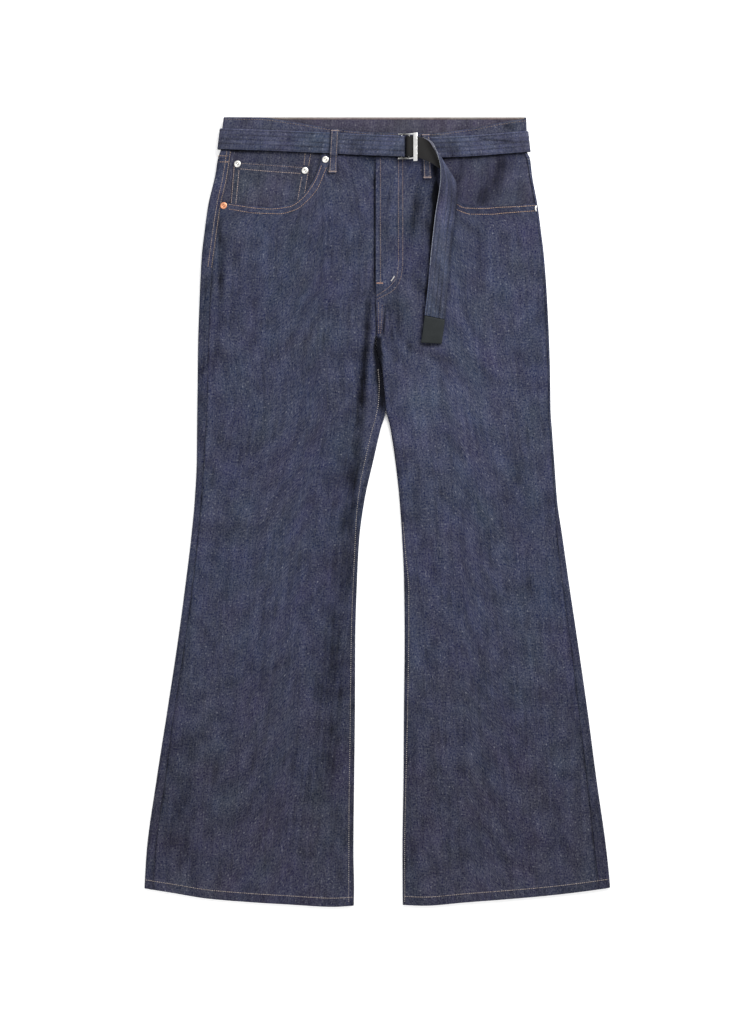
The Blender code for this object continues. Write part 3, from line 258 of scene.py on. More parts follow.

# %% Creases on the fronts
# the tone column is painted shade below zero and a painted highlight above it
CREASES_FRONT = table("x0 y0 x1 y1 x2 y2 half_width height tone", [
    # painted shadow beside the fly, and a painted highlight on its lit edge
    (-3.9, 494, -3.9, 400, -3.9, 292, 1.8, -0.4, -0.75),
    (-0.9, 494, -0.9, 400, -0.9, 296, 1.2, 0, 0.22),
    # along the rise seam, below the fly
    (-2.6, 296, -2.2, 268, -0.6, 238, 1.5, -0.3, -0.66),
    (12.5, 292, 9.6, 262, 6.6, 238, 1.7, -0.3, -0.58),
    (4.6, 300, 4.4, 272, 3.4, 250, 3.4, 0.4, 0.14),
    # down the inside of the right leg
    (-8.5, 322, -19, 200, -34, 10, 5.4, -0.8, -0.52),
    (-31, 60, -37, -10, -44, -122, 6.6, -0.6, -0.27),
    (-3.5, 268, -10, 215, -12.2, 158, 2.4, 0.7, 0.30),
    (-10, 190, -12, 130, -18, 60, 3.6, 0.5, 0.15),
    # shade of the folded belt beside the loop, and of the tail down to its tip
    (79, 492, 83, 462, 80, 424, 5, -0.4, -0.75),
    (84, 456, 78, 404, 74, 362, 3.8, 0, -0.66),
    (77, 396, 72, 340, 68, 296, 3, 0, -0.60),
    (69.5, 320, 64, 275, 59.6, 232, 2.3, 0, -0.60),
    (58, 232.5, 75, 230.8, 92, 230.6, 1.6, 0, -0.66),
    (75, 462, 73, 430, 68, 385, 10, 0, -0.32),
    (70, 405, 66, 350, 61, 296, 7, 0, -0.20),
    # shade beside the ends of both loops
    (-68.2, 492, -68.6, 480, -69.2, 465, 1.7, 0, -0.50),
    (-54.6, 492, -55, 480, -55.4, 465, 1.5, 0, -0.36),
    (-70, 466.5, -62, 466.3, -54, 466.5, 1.6, 0, -0.50),
    (62, 492, 62.4, 476, 62.8, 458, 1.8, 0, -0.50),
    (62, 458.4, 69, 458.2, 78, 458.4, 1.6, 0, -0.50),
    # round the fly's curve and out to the left thigh
    (61, 442, 48, 405, 40, 357, 8, -0.6, -0.26),
    (57, 478, 55, 430, 50, 388, 7.5, -0.4, -0.18),
    (26, 318, 27, 270, 31, 248, 5.6, -0.7, -0.34),
    (30, 254, 38, 232, 54, 220, 5, -0.5, -0.24),
    (50, 226, 72, 214, 117, 208, 6.9, -0.7, -0.20),
    (15.1, 290, 18, 262, 22, 232, 2.4, -0.4, -0.30),
    (24, 230, 25, 220, 26, 206, 5, -0.4, -0.18),
    (30, 192, 30, 178, 29, 160, 5, -0.4, -0.14),
    (11, 236, 15, 205, 20, 172, 3.6, 0.5, 0.16),
    # wide soft painted shade inside the right knee and thigh, and painted highlights on the thighs and hips
    (-40, 130, -52, -60, -58, -260, 19, 0, -0.19),
    (-60, -180, -68, -300, -74, -400, 20, 0, -0.18),
    (-12, 250, -19, 195, -24, 135, 11, 0, -0.21),
    (-92, 250, -86, 180, -72, 90, 28, 0, -0.08),
    (58, 215, 60, 150, 58, 75, 26, 0, 0.24),
    (108, 178, 118, 150, 124, 110, 22, 0, 0.13),
    (100, 350, 100, 310, 96, 262, 15, 0, 0.16),
    (140, 334, 175, 312, 222, 296, 20, 0, 0.11),
    (182, 112, 192, 72, 200, 30, 16, 0, -0.13),
    (44, 318, 48, 280, 46, 246, 8, 0, 0.13),
    (-212, 404, -182, 392, -140, 380, 18, 0, 0.11),
    (-88, 400, -68, 390, -46, 378, 13, 0, -0.11),
    (-96, 338, -74, 328, -48, 318, 12, 0, -0.13),
    (-274, -290, -281, -380, -284, -470, 16, 0, -0.14),
    # left hip, under the pocket and on the thigh
    (140, 330, 150, 170, 175, 10, 62, 0, 0.08),
    (117, 412, 126, 377, 140, 347, 12.5, -0.5, -0.08),
    (142, 294, 170, 300, 212, 287, 5.5, -0.3, -0.05),
    (115, 262, 156, 253, 198, 264, 5.5, -0.3, -0.05),
    (170, 239, 198, 232, 228, 242, 5.5, -0.3, -0.05),
    (73, 156, 101, 170, 135, 163, 22.2, 0.8, 0.07),
    # right hip, beside the side seam
    (-218, 414, -217, 345, -216, 262, 4.2, -0.8, -0.42),
    (-216, 280, -223, 236, -229, 190, 4.6, -0.6, -0.26),
    (-219, 447, -222, 412, -222, 384, 4.2, -0.4, -0.15),
    (-200, 343, -190, 322, -176, 308, 8.3, 0.5, 0.06),
    (-201, 377, -176, 364, -142, 369, 5.5, -0.3, -0.04),
    (-207, 347, -183, 339, -160, 341, 5.5, -0.3, -0.04),
    (-210, 294, -183, 278, -149, 286, 6.2, -0.3, -0.04),
    (-215, 246, -183, 232, -160, 239, 6.2, -0.3, -0.04),
    (-239, 364, -240, 239, -243, 114, 2.8, -0.2, -0.10),
    # right leg, from the knee down
    (-190, 128, -207, -11, -225, -149, 13.9, -0.4, -0.05),
    (-107, 183, -107, 45, -113, -66, 16.6, 0.3, 0.02),
    (-63, -122, -61, -205, -70, -288, 16.6, -0.8, -0.13),
    (-66, -281, -54, -330, -50, -385, 11.1, -0.5, -0.09),
    (-265, -385, -268, -447, -265, -507, 11.1, -0.8, -0.15),
    (-113, -465, -103, -476, -90, -485, 5.5, -0.5, -0.08),
    # left leg, from the knee down
    (16, 140, 26, 59, 33, -50, 3, -0.3, -0.40),
    (170, 45, 198, -66, 226, -177, 16.6, -0.3, -0.03),
    (101, 17, 104, -122, 108, -232, 19.4, 0.3, 0.02),
    (203, -191, 214, -226, 209, -267, 19.4, 0.6, 0.05),
    (50, -281, 50, -343, 48, -406, 4.9, -0.5, -0.15),
    (51, -282, 65, -275, 84, -277, 4.9, -0.4, -0.09),
    (56, -515, 94, -485, 135, -476, 8.3, -0.6, -0.13),
    (135, -476, 191, -478, 237, -510, 8.3, -0.5, -0.11),
    (101, -507, 156, -493, 226, -510, 11.1, 0.8, 0.07)])

print("creases on the fronts:", len(CREASES_FRONT["x0"]))

# %% Creases on the backs, facings, belt and waistband
# as on the fronts, the tone column is painted shade below zero and a painted highlight above it
CREASES_BACK = table("x0 y0 x1 y1 x2 y2 half_width height tone", [
    (-20, 250, -60, 215, -120, 205, 7, 0.6, -0.14),
    (16, 262, 66, 236, 128, 240, 8, 0.5, -0.12),
    (-30, 180, -52, 90, -58, -20, 9, 0.6, -0.14),
    (40, 150, 62, 60, 70, -60, 8, 0.5, -0.12),
    (-190, 60, -210, -40, -232, -130, 12, 0.4, -0.06),
    (196, 20, 205, -100, 236, -190, 14, 0.5, -0.07),
    (-80, -210, -70, -300, -76, -390, 12, 0.5, -0.09),
    (96, -240, 84, -330, 92, -420, 12, 0.6, -0.09),
    (-250, -400, -262, -450, -258, -500, 9, 0.5, -0.11),
    (160, -470, 205, -462, 250, -480, 8, 0.5, -0.09)])

CREASES_FACING = table("x0 y0 x1 y1 x2 y2 half_width height tone", [
    (182, 494, 160, 456, 138, 424, 10, -0.9, -0.42),
    (150, 494, 140, 470, 120, 452, 7, 0.4, 0.14),
    (196, 488, 186, 456, 168, 430, 6, 0.4, 0.12),
    (108, 472, 103, 447, 112, 429, 7, -0.4, -0.26),
    (206, 480, 214, 456, 214, 432, 10, 0.3, 0.16),
    (-214, 488, -212, 455, -212, 432, 6, -0.4, -0.20),
    (-90, 492, -93, 470, -98, 448, 5, -0.4, -0.25)])

CREASES_BELT = table("x0 y0 x1 y1 x2 y2 half_width height tone", [
    (138, 517, 165, 514, 192, 513, 1.6, -0.2, -0.45), (-150, 503, -120, 508, -84, 505, 3.5, 0, -0.16),
    (-46, 516, -30, 509, -22, 498, 4, 0, -0.18), (-196, 512, -180, 516, -164, 512, 3, 0, 0.16),
    (112, 500, 140, 503, 168, 499, 3.5, 0, 0.15), (-100, 519, -80, 518, -66, 516, 3, 0, 0.14),
    (-66.2, 526, -66.6, 510, -67, 494, 1.5, 0, -0.50), (-52.6, 526, -53.2, 510, -53.8, 494, 1.4, 0, -0.30),
    (-108, 516, -100, 512, -92, 506, 5, 0, 0.22), (-212, 522, -214, 512, -216, 504, 5, 0, -0.22),
    (-140, 514, -125, 517, -112, 514, 3, 0, -0.20), (-46, 503, -20, 500, 6, 500, 3, 0, -0.18),
    (92, 506, 100, 498, 118, 502, 6, 0, -0.16), (96, 518, 120, 514, 142, 519, 3, 0, 0.16),
    (176, 508, 192, 506, 208, 505, 3, 0, 0.12), (64, 512, 82, 506, 90, 498, 6, 0, -0.18)])

CREASES_BAND = table("x0 y0 x1 y1 x2 y2 half_width height tone", [
    (173, 536, 182, 534, 192, 530, 5, 0, -0.42), (-206, 544, -190, 540, -176, 538, 5, 0, -0.14),
    (120, 526, 134, 529, 150, 531, 4, 0, -0.12)])
CREASE_DEPTH = 1.3                  # every height in these tables is multiplied by this
CREASE_SHADE = 1.25                 # and every tone by this
print("creases on the belt:", len(CREASES_BELT["x0"]))

# %% [markdown]
# ## Curves and strokes
#
# Cloth bends softly, but a plain cubic curve through few points swings past them. The curve used
# here limits its slopes, so an outline never bulges beyond its table. A crease is a bell-shaped
# ridge or groove across a bent stroke, and it fades out at both of the stroke's ends.

# %% Curves
def smooth(at, knots, values):
    """A cubic curve through the knots whose slopes are limited, so that it never overshoots."""
    if knots[0] > knots[-1]:
        knots = knots[::-1]
        values = values[::-1]
    step = np.diff(knots)
    rise = np.diff(values) / step
    same_way = rise[:-1] * rise[1:] > 0.0
    total = np.where(same_way, rise[:-1] + rise[1:], 1.0)
    middle = np.where(same_way, 2.0 * rise[:-1] * rise[1:] / total, 0.0)
    slopes = np.concatenate(([rise[0]], middle, [rise[-1]]))
    at = np.clip(np.asarray(at, dtype=float), knots[0], knots[-1])
    span = np.clip(np.searchsorted(knots, at) - 1, 0, len(step) - 1)
    t = (at - knots[span]) / step[span]
    start = values[span] * (1.0 + 2.0 * t) * (1.0 - t) ** 2
    end = values[span + 1] * t * t * (3.0 - 2.0 * t)
    start_slope = slopes[span] * step[span] * t * (1.0 - t) ** 2
    end_slope = slopes[span + 1] * step[span] * t * t * (t - 1.0)
    return start + end + start_slope + end_slope


def ease(value, low, high):
    """0 below low, 1 above high, with a soft change between them."""
    t = np.clip((value - low) / (high - low), 0.0, 1.0)
    return t * t * (3.0 - 2.0 * t)


def blend(first, second, share):
    """From the first value to the second by a share, in a straight line."""
    return (1.0 - share) * first + share * second


def travelled(points):
    """Distance along a line of points, from its first point to each."""
    steps = np.linalg.norm(np.diff(points, axis=0), axis=1)
    return np.concatenate(([0.0], np.cumsum(steps)))


def along(points, distances):
    """Points at the given distances along a smooth curve through the points."""
    at = travelled(points)
    return np.stack([smooth(distances, at, points[:, axis]) for axis in range(points.shape[1])], axis=-1)


def finer(points, step):
    """The same smooth curve with a point about every step."""
    points = np.array(points, dtype=float)
    length = travelled(points)[-1]
    return along(points, np.linspace(0.0, length, max(2, int(round(length / step)) + 1)))


def distance_to(x, y, line):
    """Distance in the plane from each place to a line of points, and the share along it there."""
    best = np.full(np.shape(x), 1e9)
    share = np.zeros(np.shape(x))
    total = travelled(line)
    for index in range(len(line) - 1):
        run = line[index + 1] - line[index]
        t = ((x - line[index, 0]) * run[0] + (y - line[index, 1]) * run[1]) / (run @ run)
        t = np.clip(t, 0.0, 1.0)
        away = np.hypot(x - line[index, 0] - t * run[0], y - line[index, 1] - t * run[1])
        closer = away < best
        best = np.where(closer, away, best)
        share = np.where(closer, (total[index] + t * (total[index + 1] - total[index])) / total[-1], share)
    return best, share


print("halfway up a soft step:", ease(0.5, 0.0, 1.0))


# %% Strokes and waves
def bent_stroke(x0, y0, x1, y1, x2, y2):
    """Nine points of the curve that leaves the first place, is drawn to the second, ends at the third."""
    t = np.linspace(0.0, 1.0, 9)[:, None]
    first, second, third = np.array([[x0, y0], [x1, y1], [x2, y2]], dtype=float)
    return (1.0 - t) ** 2 * first + 2.0 * t * (1.0 - t) * second + t * t * third


def crease_field(x, y, creases):
    """Height and tone (painted shade and highlight) of the creases: a bell across each stroke, fading at
    both of its ends.
    """
    height = np.zeros(np.shape(x))
    tone = np.zeros(np.shape(x))
    for x0, y0, x1, y1, x2, y2, width, amount, shade in zip(*creases.values()):
        line = bent_stroke(x0, y0, x1, y1, x2, y2)
        low = line.min(axis=0) - 3.0 * width
        high = line.max(axis=0) + 3.0 * width
        near = (x > low[0]) & (x < high[0]) & (y > low[1]) & (y < high[1])
        away, share = distance_to(x[near], y[near], line)
        bell = np.exp(-(away / width) ** 2) * ease(share, -0.05, 0.22) * ease(-share, -1.05, -0.78)
        height[near] += CREASE_DEPTH * amount * bell
        tone[near] += CREASE_SHADE * shade * bell
    return height, tone


def fold_height(x, y):
    """Height of the large folds: a bell across each straight stroke."""
    height = np.zeros(np.shape(x))
    for x0, y0, x1, y1, half_width, amount in zip(*FOLDS.values()):
        run = np.array([x1 - x0, y1 - y0])
        length = np.hypot(*run)
        t = ((x - x0) * run[0] + (y - y0) * run[1]) / length ** 2
        across = ((x - x0) * run[1] - (y - y0) * run[0]) / length
        ends = ease(t, -0.1, 0.25) * ease(-t, -1.1, -0.75)
        height += amount * ends * np.exp(-(across / half_width) ** 2)
    return height


def slow_waves(x, y, seed, wavelength, size):
    """A few crossing waves of uneven direction and length, like cloth that isn't quite flat."""
    draw = np.random.default_rng(seed)
    height = np.zeros(np.shape(x))
    for _ in range(9):
        angle = draw.uniform(0.0, np.pi)
        length = wavelength * draw.uniform(0.6, 1.7)
        phase = draw.uniform(0.0, 2.0 * np.pi)
        height += np.sin((x * np.cos(angle) + y * np.sin(angle)) * 2.0 * np.pi / length + phase)
    return height * size / 3.0


print("one wave of the cloth at (0, 0): %.3f mm" % slow_waves(0.0, 0.0, 3, 120.0, 0.22))


# %% [markdown]
# ## The flat tube of each leg
#
# A leg laid flat is a tube pressed almost shut. The back panel lies underneath and comes round the
# outer edge to the side seam, which lies on the front face, and the inseam is on the turn at the
# inner edge. Above the crotch the two legs are one tube, so their inner edges open into the centre
# seams. A height function for the front wall and one for the back serve every piece and every row
# of sewing, so that all of them agree.

# %% Leg form
def level(wall, y):
    """Height of the middle of the back or front wall at y."""
    return smooth(y, LEVELS["y"], LEVELS[wall])


def section(column, y):
    """One column of the leg sections at y."""
    return smooth(y, SECTIONS["y"], SECTIONS[column])


def waist(column, x):
    """One column of the waist table at x."""
    return smooth(x, WAIST["x"], WAIST[column])


def inwards(side):
    """Direction of X from a leg's outer edge to its inner edge."""
    return 1.0 if side == "r" else -1.0


def closing(y):
    """0 where the hips are one tube, 1 where each leg is its own tube."""
    return 1.0 - ease(y, CROTCH_Y, CROTCH_Y + CROTCH_RUN)


def outer_middle(side, y):
    """X of the middle of the cloth where it turns at the outer edge."""
    return section(side + "_edge", y) + inwards(side) * CLOTH / 2


SEAM_APART = 0.03                   # half the gap at the centre seams
THIGHS_APART = 0.97                 # the solids' distance between the thighs, closed here
THIGHS_CLOSE_Y = (122.0, 142.0)
THIGHS_TOUCH_Y = (112.0, 150.0)     # below these heights the legs part
TURNED_RUN = (10.0, 20.0)           # how far above the crotch's rows the edges stay turned
UNDERLAP_RUN = 12.0                 # height over which the underlap widens


def inner_end_x(side, y):
    """X of the cloth's inner end: the centre seam above the crotch, the inseam below it."""
    closed = closing(y)
    centre = (section("r_inner", y) + section("l_inner", y)) / 2
    turned = 1.0 - ease(y, CROTCH_Y + TURNED_RUN[0], CROTCH_Y + CROTCH_RUN + TURNED_RUN[1])
    apart = SEAM_APART + (CLOTH / 2 + SEAM_APART) * turned
    edge = section(side + "_inner", y) - inwards(side) * CLOTH / 2
    if side == "l":
        edge = edge - THIGHS_APART * ease(y, *THIGHS_CLOSE_Y)
    return blend(centre - inwards(side) * apart, edge, closed)


def turn_radius(y):
    """Radius of the fold at the edges: half the distance between the walls."""
    return (level("front", y) - level("back", y)) / 2


def rise(distance, reach):
    """Share of the full height reached at a distance from the edge, on a round turn."""
    short = np.clip(1.0 - distance / reach, 0.0, 1.0)
    return np.sqrt(1.0 - short * short)


def flat_share(side, x, y, valley):
    """1 where the cloth lies flat, falling to 0 at the middle of the turn at an edge."""
    reach = turn_radius(y)
    outer = rise(np.abs(x - outer_middle(side, y)), reach)
    inner = rise(np.abs(x - inner_end_x(side, y)), reach * (1.0 + valley))
    closed = closing(y)
    return outer * (1.0 - closed + closed * inner)


VALLEY_WIDTH = {"r": 3.0, "l": 0.1}    # how much wider the front's turn is between the thighs
# painted shade: the VALLEY table gives how far the dark between the thighs spreads, and VALLEY_SHADE how
# dark it is
VALLEY = table("y reach left_end", [
    (246, 2, 5.2), (240, 2.6, 5.8), (218, 6.4, 7.2), (193, 10.8, 8.2), (160, 13.2, 10.9),
    (142, 12.4, 12.2), (121, 5, 12.4), (110, 3, 12.4)])    # the dark between the thighs
VALLEY_SHADE = 0.95
VALLEY_TOP = (-262.0, -232.0)       # minus Y between which the valley grows to its full width
VALLEY_DARK_TOP = (-246.0, -240.0)  # and to its full shade


def between_thighs(y):
    """1 where the two legs still touch below the crotch."""
    return ease(y, *THIGHS_TOUCH_Y) * ease(-y, *VALLEY_TOP)


print("leg opening %.0f mm" % (inner_end_x("r", -500.0) - outer_middle("r", -500.0)))


# %% Seams, hems and pocket mouths
def seam_x(side, y):
    """X of the side seam on the front face."""
    return section(side + "_edge", y) + inwards(side) * section(side + "_over", y)


def front_end_x(side, y):
    """X of a front panel's inner end; the right front runs on under the fly."""
    end = inner_end_x(side, y)
    if side == "r":
        end = end + (UNDERLAP_X - CENTRE_X) * ease(y, FLY_END_Y, FLY_END_Y + UNDERLAP_RUN)
    return end


def hem_y(side, across):
    """Y of the curved hem at a share of the leg's width."""
    return smooth(across, HEMS["across"], HEMS["right" if side == "r" else "left"])


def share_across(side, x, y):
    """0 at a leg's outer edge, 1 at its inner edge."""
    low = np.maximum(y, HEM_START_Y)
    outer = outer_middle(side, low)
    return np.clip((x - outer) / (inner_end_x(side, low) - outer), 0.0, 1.0)


def side_points(columns, side):
    """One side's columns of X and Y as points."""
    return np.stack((columns[side + "_x"], columns[side + "_y"]), axis=1)


def mouth_line(side):
    """The pocket mouth as a smooth line of points."""
    return finer(side_points(MOUTHS, side), 4.0)


print("length of the right pocket's mouth %.0f mm" % travelled(mouth_line("r"))[-1])

# %% Relief of the fronts and backs
# painted shade: the legs are coloured a little darker towards the hems, where the light falls off
LOW_SHADE = 0.085                   # the legs grow a little darker towards the hems
LOW_SHADE_Y = (60.0, 440.0)         # minus Y between which they do
HEM_RAISE = 0.55                    # the folded hem is this much higher
HEM_SHADE = 0.07
HEM_RIPPLE = 0.3                    # and its stitching pulls it into puckers of this height
RIPPLE_SHADE = 0.09
INSEAM_DIP = 0.25
INSEAM_SHADE = 0.24
SIDE_SHADE = 0.12                   # the back panel beside the side seam
SIDE_LINE_SHADE = 0.3               # the seam itself, a dark and broken line
FLY_RAISE = 0.3                     # the fly is this much higher
FLY_EDGE_X = 37.5                   # on this side of its curved sewing
FLY_RAISE_Y = (296.0, 302.0)        # and above these
BELT_SHADE = 0.75
MOUTH_RAISE = 0.5                   # the turned edge at a pocket mouth is this much higher
MOUTH_FOLD = 9.5                    # and this deep
MOUTH_TONE = {"r": 0.08, "l": -0.12}   # the turned edge catches light on the right, less on the left
FLY_LAP_X = (-28.0, -18.0)          # minus X between which the left front comes up on the underlap
FLY_LAP_RUN = 23.0                  # and the length over which it does at the fly's lower end


def easy_relief(x, y):
    """Large folds and slow waves, which the front and what lies under it share."""
    return fold_height(x, y) + slow_waves(x, y, 3, 120.0, 0.22) + slow_waves(x, y, 5, 46.0, 0.07)


def plain_front(side, x, y):
    """Height of the front wall without creases and thick edges, for the pieces under it."""
    centre = (level("front", y) + level("back", y)) / 2
    return centre + (level("front", y) + easy_relief(x, y) - centre) * flat_share(side, x, y, 0.0)


def under_belt(x, y):
    """The dark line of shade along the belt's lower edge, on the cloth that it lies on."""
    return BELT_SHADE * ease(y - waist("belt", x) + BELT_HALF_WIDTH, -2.6, -0.4)


def front_relief(side, x, y):
    """What lies on the level front: folds, creases, thick edges and the hem, as height and as tone, which is
    painted shade and highlight.
    """
    height, tone = crease_field(x, y, CREASES_FRONT)
    height += easy_relief(x, y)
    away, _ = distance_to(x, y, mouth_line(side))
    on_panel = ease((x - seam_x(side, y)) * inwards(side), -1.0, 0.0)
    turned_edge = ease(-away, -MOUTH_FOLD - 1.5, -MOUTH_FOLD)
    height += MOUTH_RAISE * turned_edge * on_panel
    tone += MOUTH_TONE[side] * turned_edge * on_panel
    above_hem = y - hem_y(side, share_across(side, x, y))
    ripple = np.sin(x * 0.72 + above_hem * 0.35 + 1.5 * np.sin(x * 0.05)) * ease(-above_hem, -20.0, -6.0)
    tone -= LOW_SHADE * ease(-y, *LOW_SHADE_Y) * ease(y, -512.0, -484.0)
    in_hem = ease(-above_hem, -HEM_DEPTH - 1.6, -HEM_DEPTH + 0.6)
    height += HEM_RAISE * in_hem + HEM_RIPPLE * ripple
    tone += RIPPLE_SHADE * ripple - HEM_SHADE * in_hem
    by_inseam = ease(-np.abs(x - inner_end_x(side, y)), -6.5, -4.5) * ease(-y, -130.0, -60.0)
    below_pocket = ease(-y, -400.0, -300.0)
    by_side = ease(-(x - seam_x(side, y)) * inwards(side), -1.2, 0.0) * below_pocket
    broken = 0.6 + 0.4 * np.sin(0.09 * y + 1.3 * np.sin(0.031 * y))
    seam_line = np.exp(-(((x - seam_x(side, y)) / 1.2) ** 2)) * below_pocket * broken
    height -= INSEAM_DIP * by_inseam
    tone -= INSEAM_SHADE * by_inseam + SIDE_SHADE * by_side + SIDE_LINE_SHADE * seam_line + under_belt(x, y)
    if side == "l":
        fly_side = ease(-x, -FLY_EDGE_X - 1.0, -FLY_EDGE_X + 1.0)
        height += FLY_RAISE * fly_side * ease(y, *FLY_RAISE_Y)
        height += LAP * ease(-x, *FLY_LAP_X) * ease(y, FLY_END_Y - FLY_LAP_RUN, FLY_END_Y)
    return height, tone


def front_height(side, x, y):
    """Height of the middle of the front wall, turned down at the edges, and its tone."""
    x, y = np.broadcast_arrays(np.asarray(x, dtype=float), np.asarray(y, dtype=float))
    centre = (level("front", y) + level("back", y)) / 2
    relief, tone = front_relief(side, x, y)
    lying = flat_share(side, x, y, VALLEY_WIDTH[side] * between_thighs(y))
    height = centre + (level("front", y) + relief - centre) * lying
    if side == "r":
        reach = smooth(y, VALLEY["y"], VALLEY["reach"])
        valley = ease(1.0 - np.abs(x - inner_end_x(side, y)) / reach, 0.0, 0.6)
    else:
        valley = ease(smooth(y, VALLEY["y"], VALLEY["left_end"]) - x, -0.7, 0.7)
    tone = tone - VALLEY_SHADE * valley * ease(y, *THIGHS_TOUCH_Y) * ease(-y, *VALLEY_DARK_TOP)
    return height, tone


def back_height(side, x, y):
    """Height of the middle of the back wall, turned up at the edges, and its tone."""
    x, y = np.broadcast_arrays(np.asarray(x, dtype=float), np.asarray(y, dtype=float))
    centre = (level("front", y) + level("back", y)) / 2
    relief, tone = crease_field(x, y, CREASES_BACK)
    height = centre - (centre - level("back", y) - relief) * flat_share(side, x, y, 0.0)
    return height, tone


print("top of the right front at the knee %.1f mm" % (front_height("r", -150.0, 0.0)[0] + CLOTH / 2))


# %% [markdown]
# ## Finishes
#
# Denim is a twill: indigo warp yarns lie over white weft, so the face shows fine slanting ridges,
# short dark and pale flecks, and long uneven yarns down the leg. All of that is one node group that
# reads the cloth's own UV map, which is in metres along the cloth, so the weave keeps its size on
# every piece. The tone attribute carries painted shade and painted highlights: the shading of the
# creases, and the shadows that parts cast on each other.

# %% Node helpers
def node_group(name, inputs, outputs):
    """A shader node group with named sockets: its tree, the node with what is given, and its result."""
    tree = bpy.data.node_groups.new(name, "ShaderNodeTree")
    for label, kind in inputs:
        tree.interface.new_socket(label, in_out="INPUT", socket_type="NodeSocket" + kind)
    for label, kind in outputs:
        tree.interface.new_socket(label, in_out="OUTPUT", socket_type="NodeSocket" + kind)
    return tree, tree.nodes.new("NodeGroupInput").outputs, tree.nodes.new("NodeGroupOutput").inputs


def feed(tree, value, socket):
    """Link a socket to another, or set a plain value on it."""
    if isinstance(value, bpy.types.NodeSocket):
        tree.links.new(value, socket)
    else:
        socket.default_value = value


def math(tree, operation, *values, kind="ShaderNodeMath"):
    """The result of one Math node."""
    node = tree.nodes.new(kind)
    node.operation = operation
    for value, socket in zip(values, node.inputs):
        feed(tree, value, socket)
    return node.outputs[0]


def vector_math(tree, operation, *values):
    """The result of one Vector Math node, which works on X, Y and Z or on red, green and blue."""
    return math(tree, operation, *values, kind="ShaderNodeVectorMath")


def noise(tree, cloth, cells, detail=1.0, output=0):
    """Soft noise from 0 to 1, or three at once as a colour, with so many cells to the metre."""
    texture = tree.nodes.new("ShaderNodeTexNoise")
    texture.inputs["Scale"].default_value = 1.0
    texture.inputs["Detail"].default_value = detail
    feed(tree, vector_math(tree, "MULTIPLY", cloth, cells), texture.inputs["Vector"])
    return texture.outputs[output]


def waves(tree, cloth, turns_x, turns_y, wander=0.0):
    """A sine pattern with so many turns to the metre along each axis; wander bends it."""
    split = tree.nodes.new("ShaderNodeSeparateXYZ")
    feed(tree, cloth, split.inputs[0])
    turn = math(tree, "MULTIPLY", split.outputs[0], 2.0 * np.pi * turns_x)
    turn = math(tree, "MULTIPLY_ADD", split.outputs[1], 2.0 * np.pi * turns_y, turn)
    return math(tree, "SINE", math(tree, "ADD", turn, wander))


def added(tree, start, *parts):
    """A start value plus each part: (value, middle of the value's range, amount)."""
    total = start
    for value, middle, amount in parts:
        total = math(tree, "MULTIPLY_ADD", math(tree, "SUBTRACT", value, middle), amount, total)
    return total


def tinted(tree, colour, factor):
    """A colour made lighter or darker by a factor."""
    node = tree.nodes.new("ShaderNodeVectorMath")
    node.operation = "SCALE"
    feed(tree, colour, node.inputs[0])
    feed(tree, factor, node.inputs["Scale"])
    return node.outputs[0]


print("node helpers:", [helper.__name__ for helper in (math, vector_math, noise, waves, added, tinted)])

# %% Denim
WEFT_WHITE = 0.044                  # how much of the white weft a fleck lets through
HEM_DYE_Y = (-0.12, -0.44)          # the legs' dye turns warmer between these heights, in metres
DARKEST = (0.002, 0.002, 0.003)     # no crease is darker than this
denim_weave, given, result = node_group(
    "denim_weave", [("Cloth", "Vector"), ("Place", "Vector"), ("Indigo", "Color"), ("Hem indigo", "Color"),
                    ("Tone", "Float"), ("Fleck", "Float")],
    [("Colour", "Color"), ("Roughness", "Float"), ("Height", "Float")])
warp = noise(denim_weave, given["Cloth"], (1250.0, 90.0, 1.0))
weft = noise(denim_weave, given["Cloth"], (90.0, 1100.0, 1.0))
fleck = noise(denim_weave, given["Cloth"], (520.0, 400.0, 1.0), 2.0)
pale = noise(denim_weave, given["Cloth"], (400.0, 330.0, 1.0), 0.0)
patch = noise(denim_weave, given["Cloth"], (55.0, 34.0, 1.0), 4.0)
slub = noise(denim_weave, given["Cloth"], (240.0, 11.0, 1.0), 1.0)
ridge = waves(denim_weave, given["Cloth"], -980.0, 520.0, math(denim_weave, "MULTIPLY", fleck, 2.2))
speck = math(denim_weave, "MAXIMUM", math(denim_weave, "SUBTRACT", pale, 0.67), 0.0)
both = added(denim_weave, 0.0, (fleck, 0.5, 2.6), (speck, 0.0, 8.0), (warp, 0.5, 1.1), (weft, 0.5, 0.8))
amount = math(denim_weave, "MULTIPLY", both, given["Fleck"])
factor = added(denim_weave, 1.0, (patch, 0.5, 1.25), (slub, 0.5, 0.6), (ridge, 0.0, 0.1),
               (given["Tone"], 0.0, 1.0))
factor = math(denim_weave, "MAXIMUM", factor, 0.08)
white = math(denim_weave, "MULTIPLY", math(denim_weave, "MULTIPLY", amount, factor), WEFT_WHITE)
up_the_leg = denim_weave.nodes.new("ShaderNodeSeparateXYZ")
feed(denim_weave, given["Place"], up_the_leg.inputs[0])
nearness = denim_weave.nodes.new("ShaderNodeMapRange")
feed(denim_weave, up_the_leg.outputs["Y"], nearness.inputs["Value"])
nearness.inputs["From Min"].default_value = HEM_DYE_Y[0]
nearness.inputs["From Max"].default_value = HEM_DYE_Y[1]
dyed = denim_weave.nodes.new("ShaderNodeMix")
dyed.data_type = "RGBA"
feed(denim_weave, nearness.outputs["Result"], dyed.inputs["Factor"])
feed(denim_weave, given["Indigo"], dyed.inputs[6])
feed(denim_weave, given["Hem indigo"], dyed.inputs[7])
cast = tinted(denim_weave, noise(denim_weave, given["Cloth"], (22.0, 15.0, 1.0), 2.0, 1), 0.26)
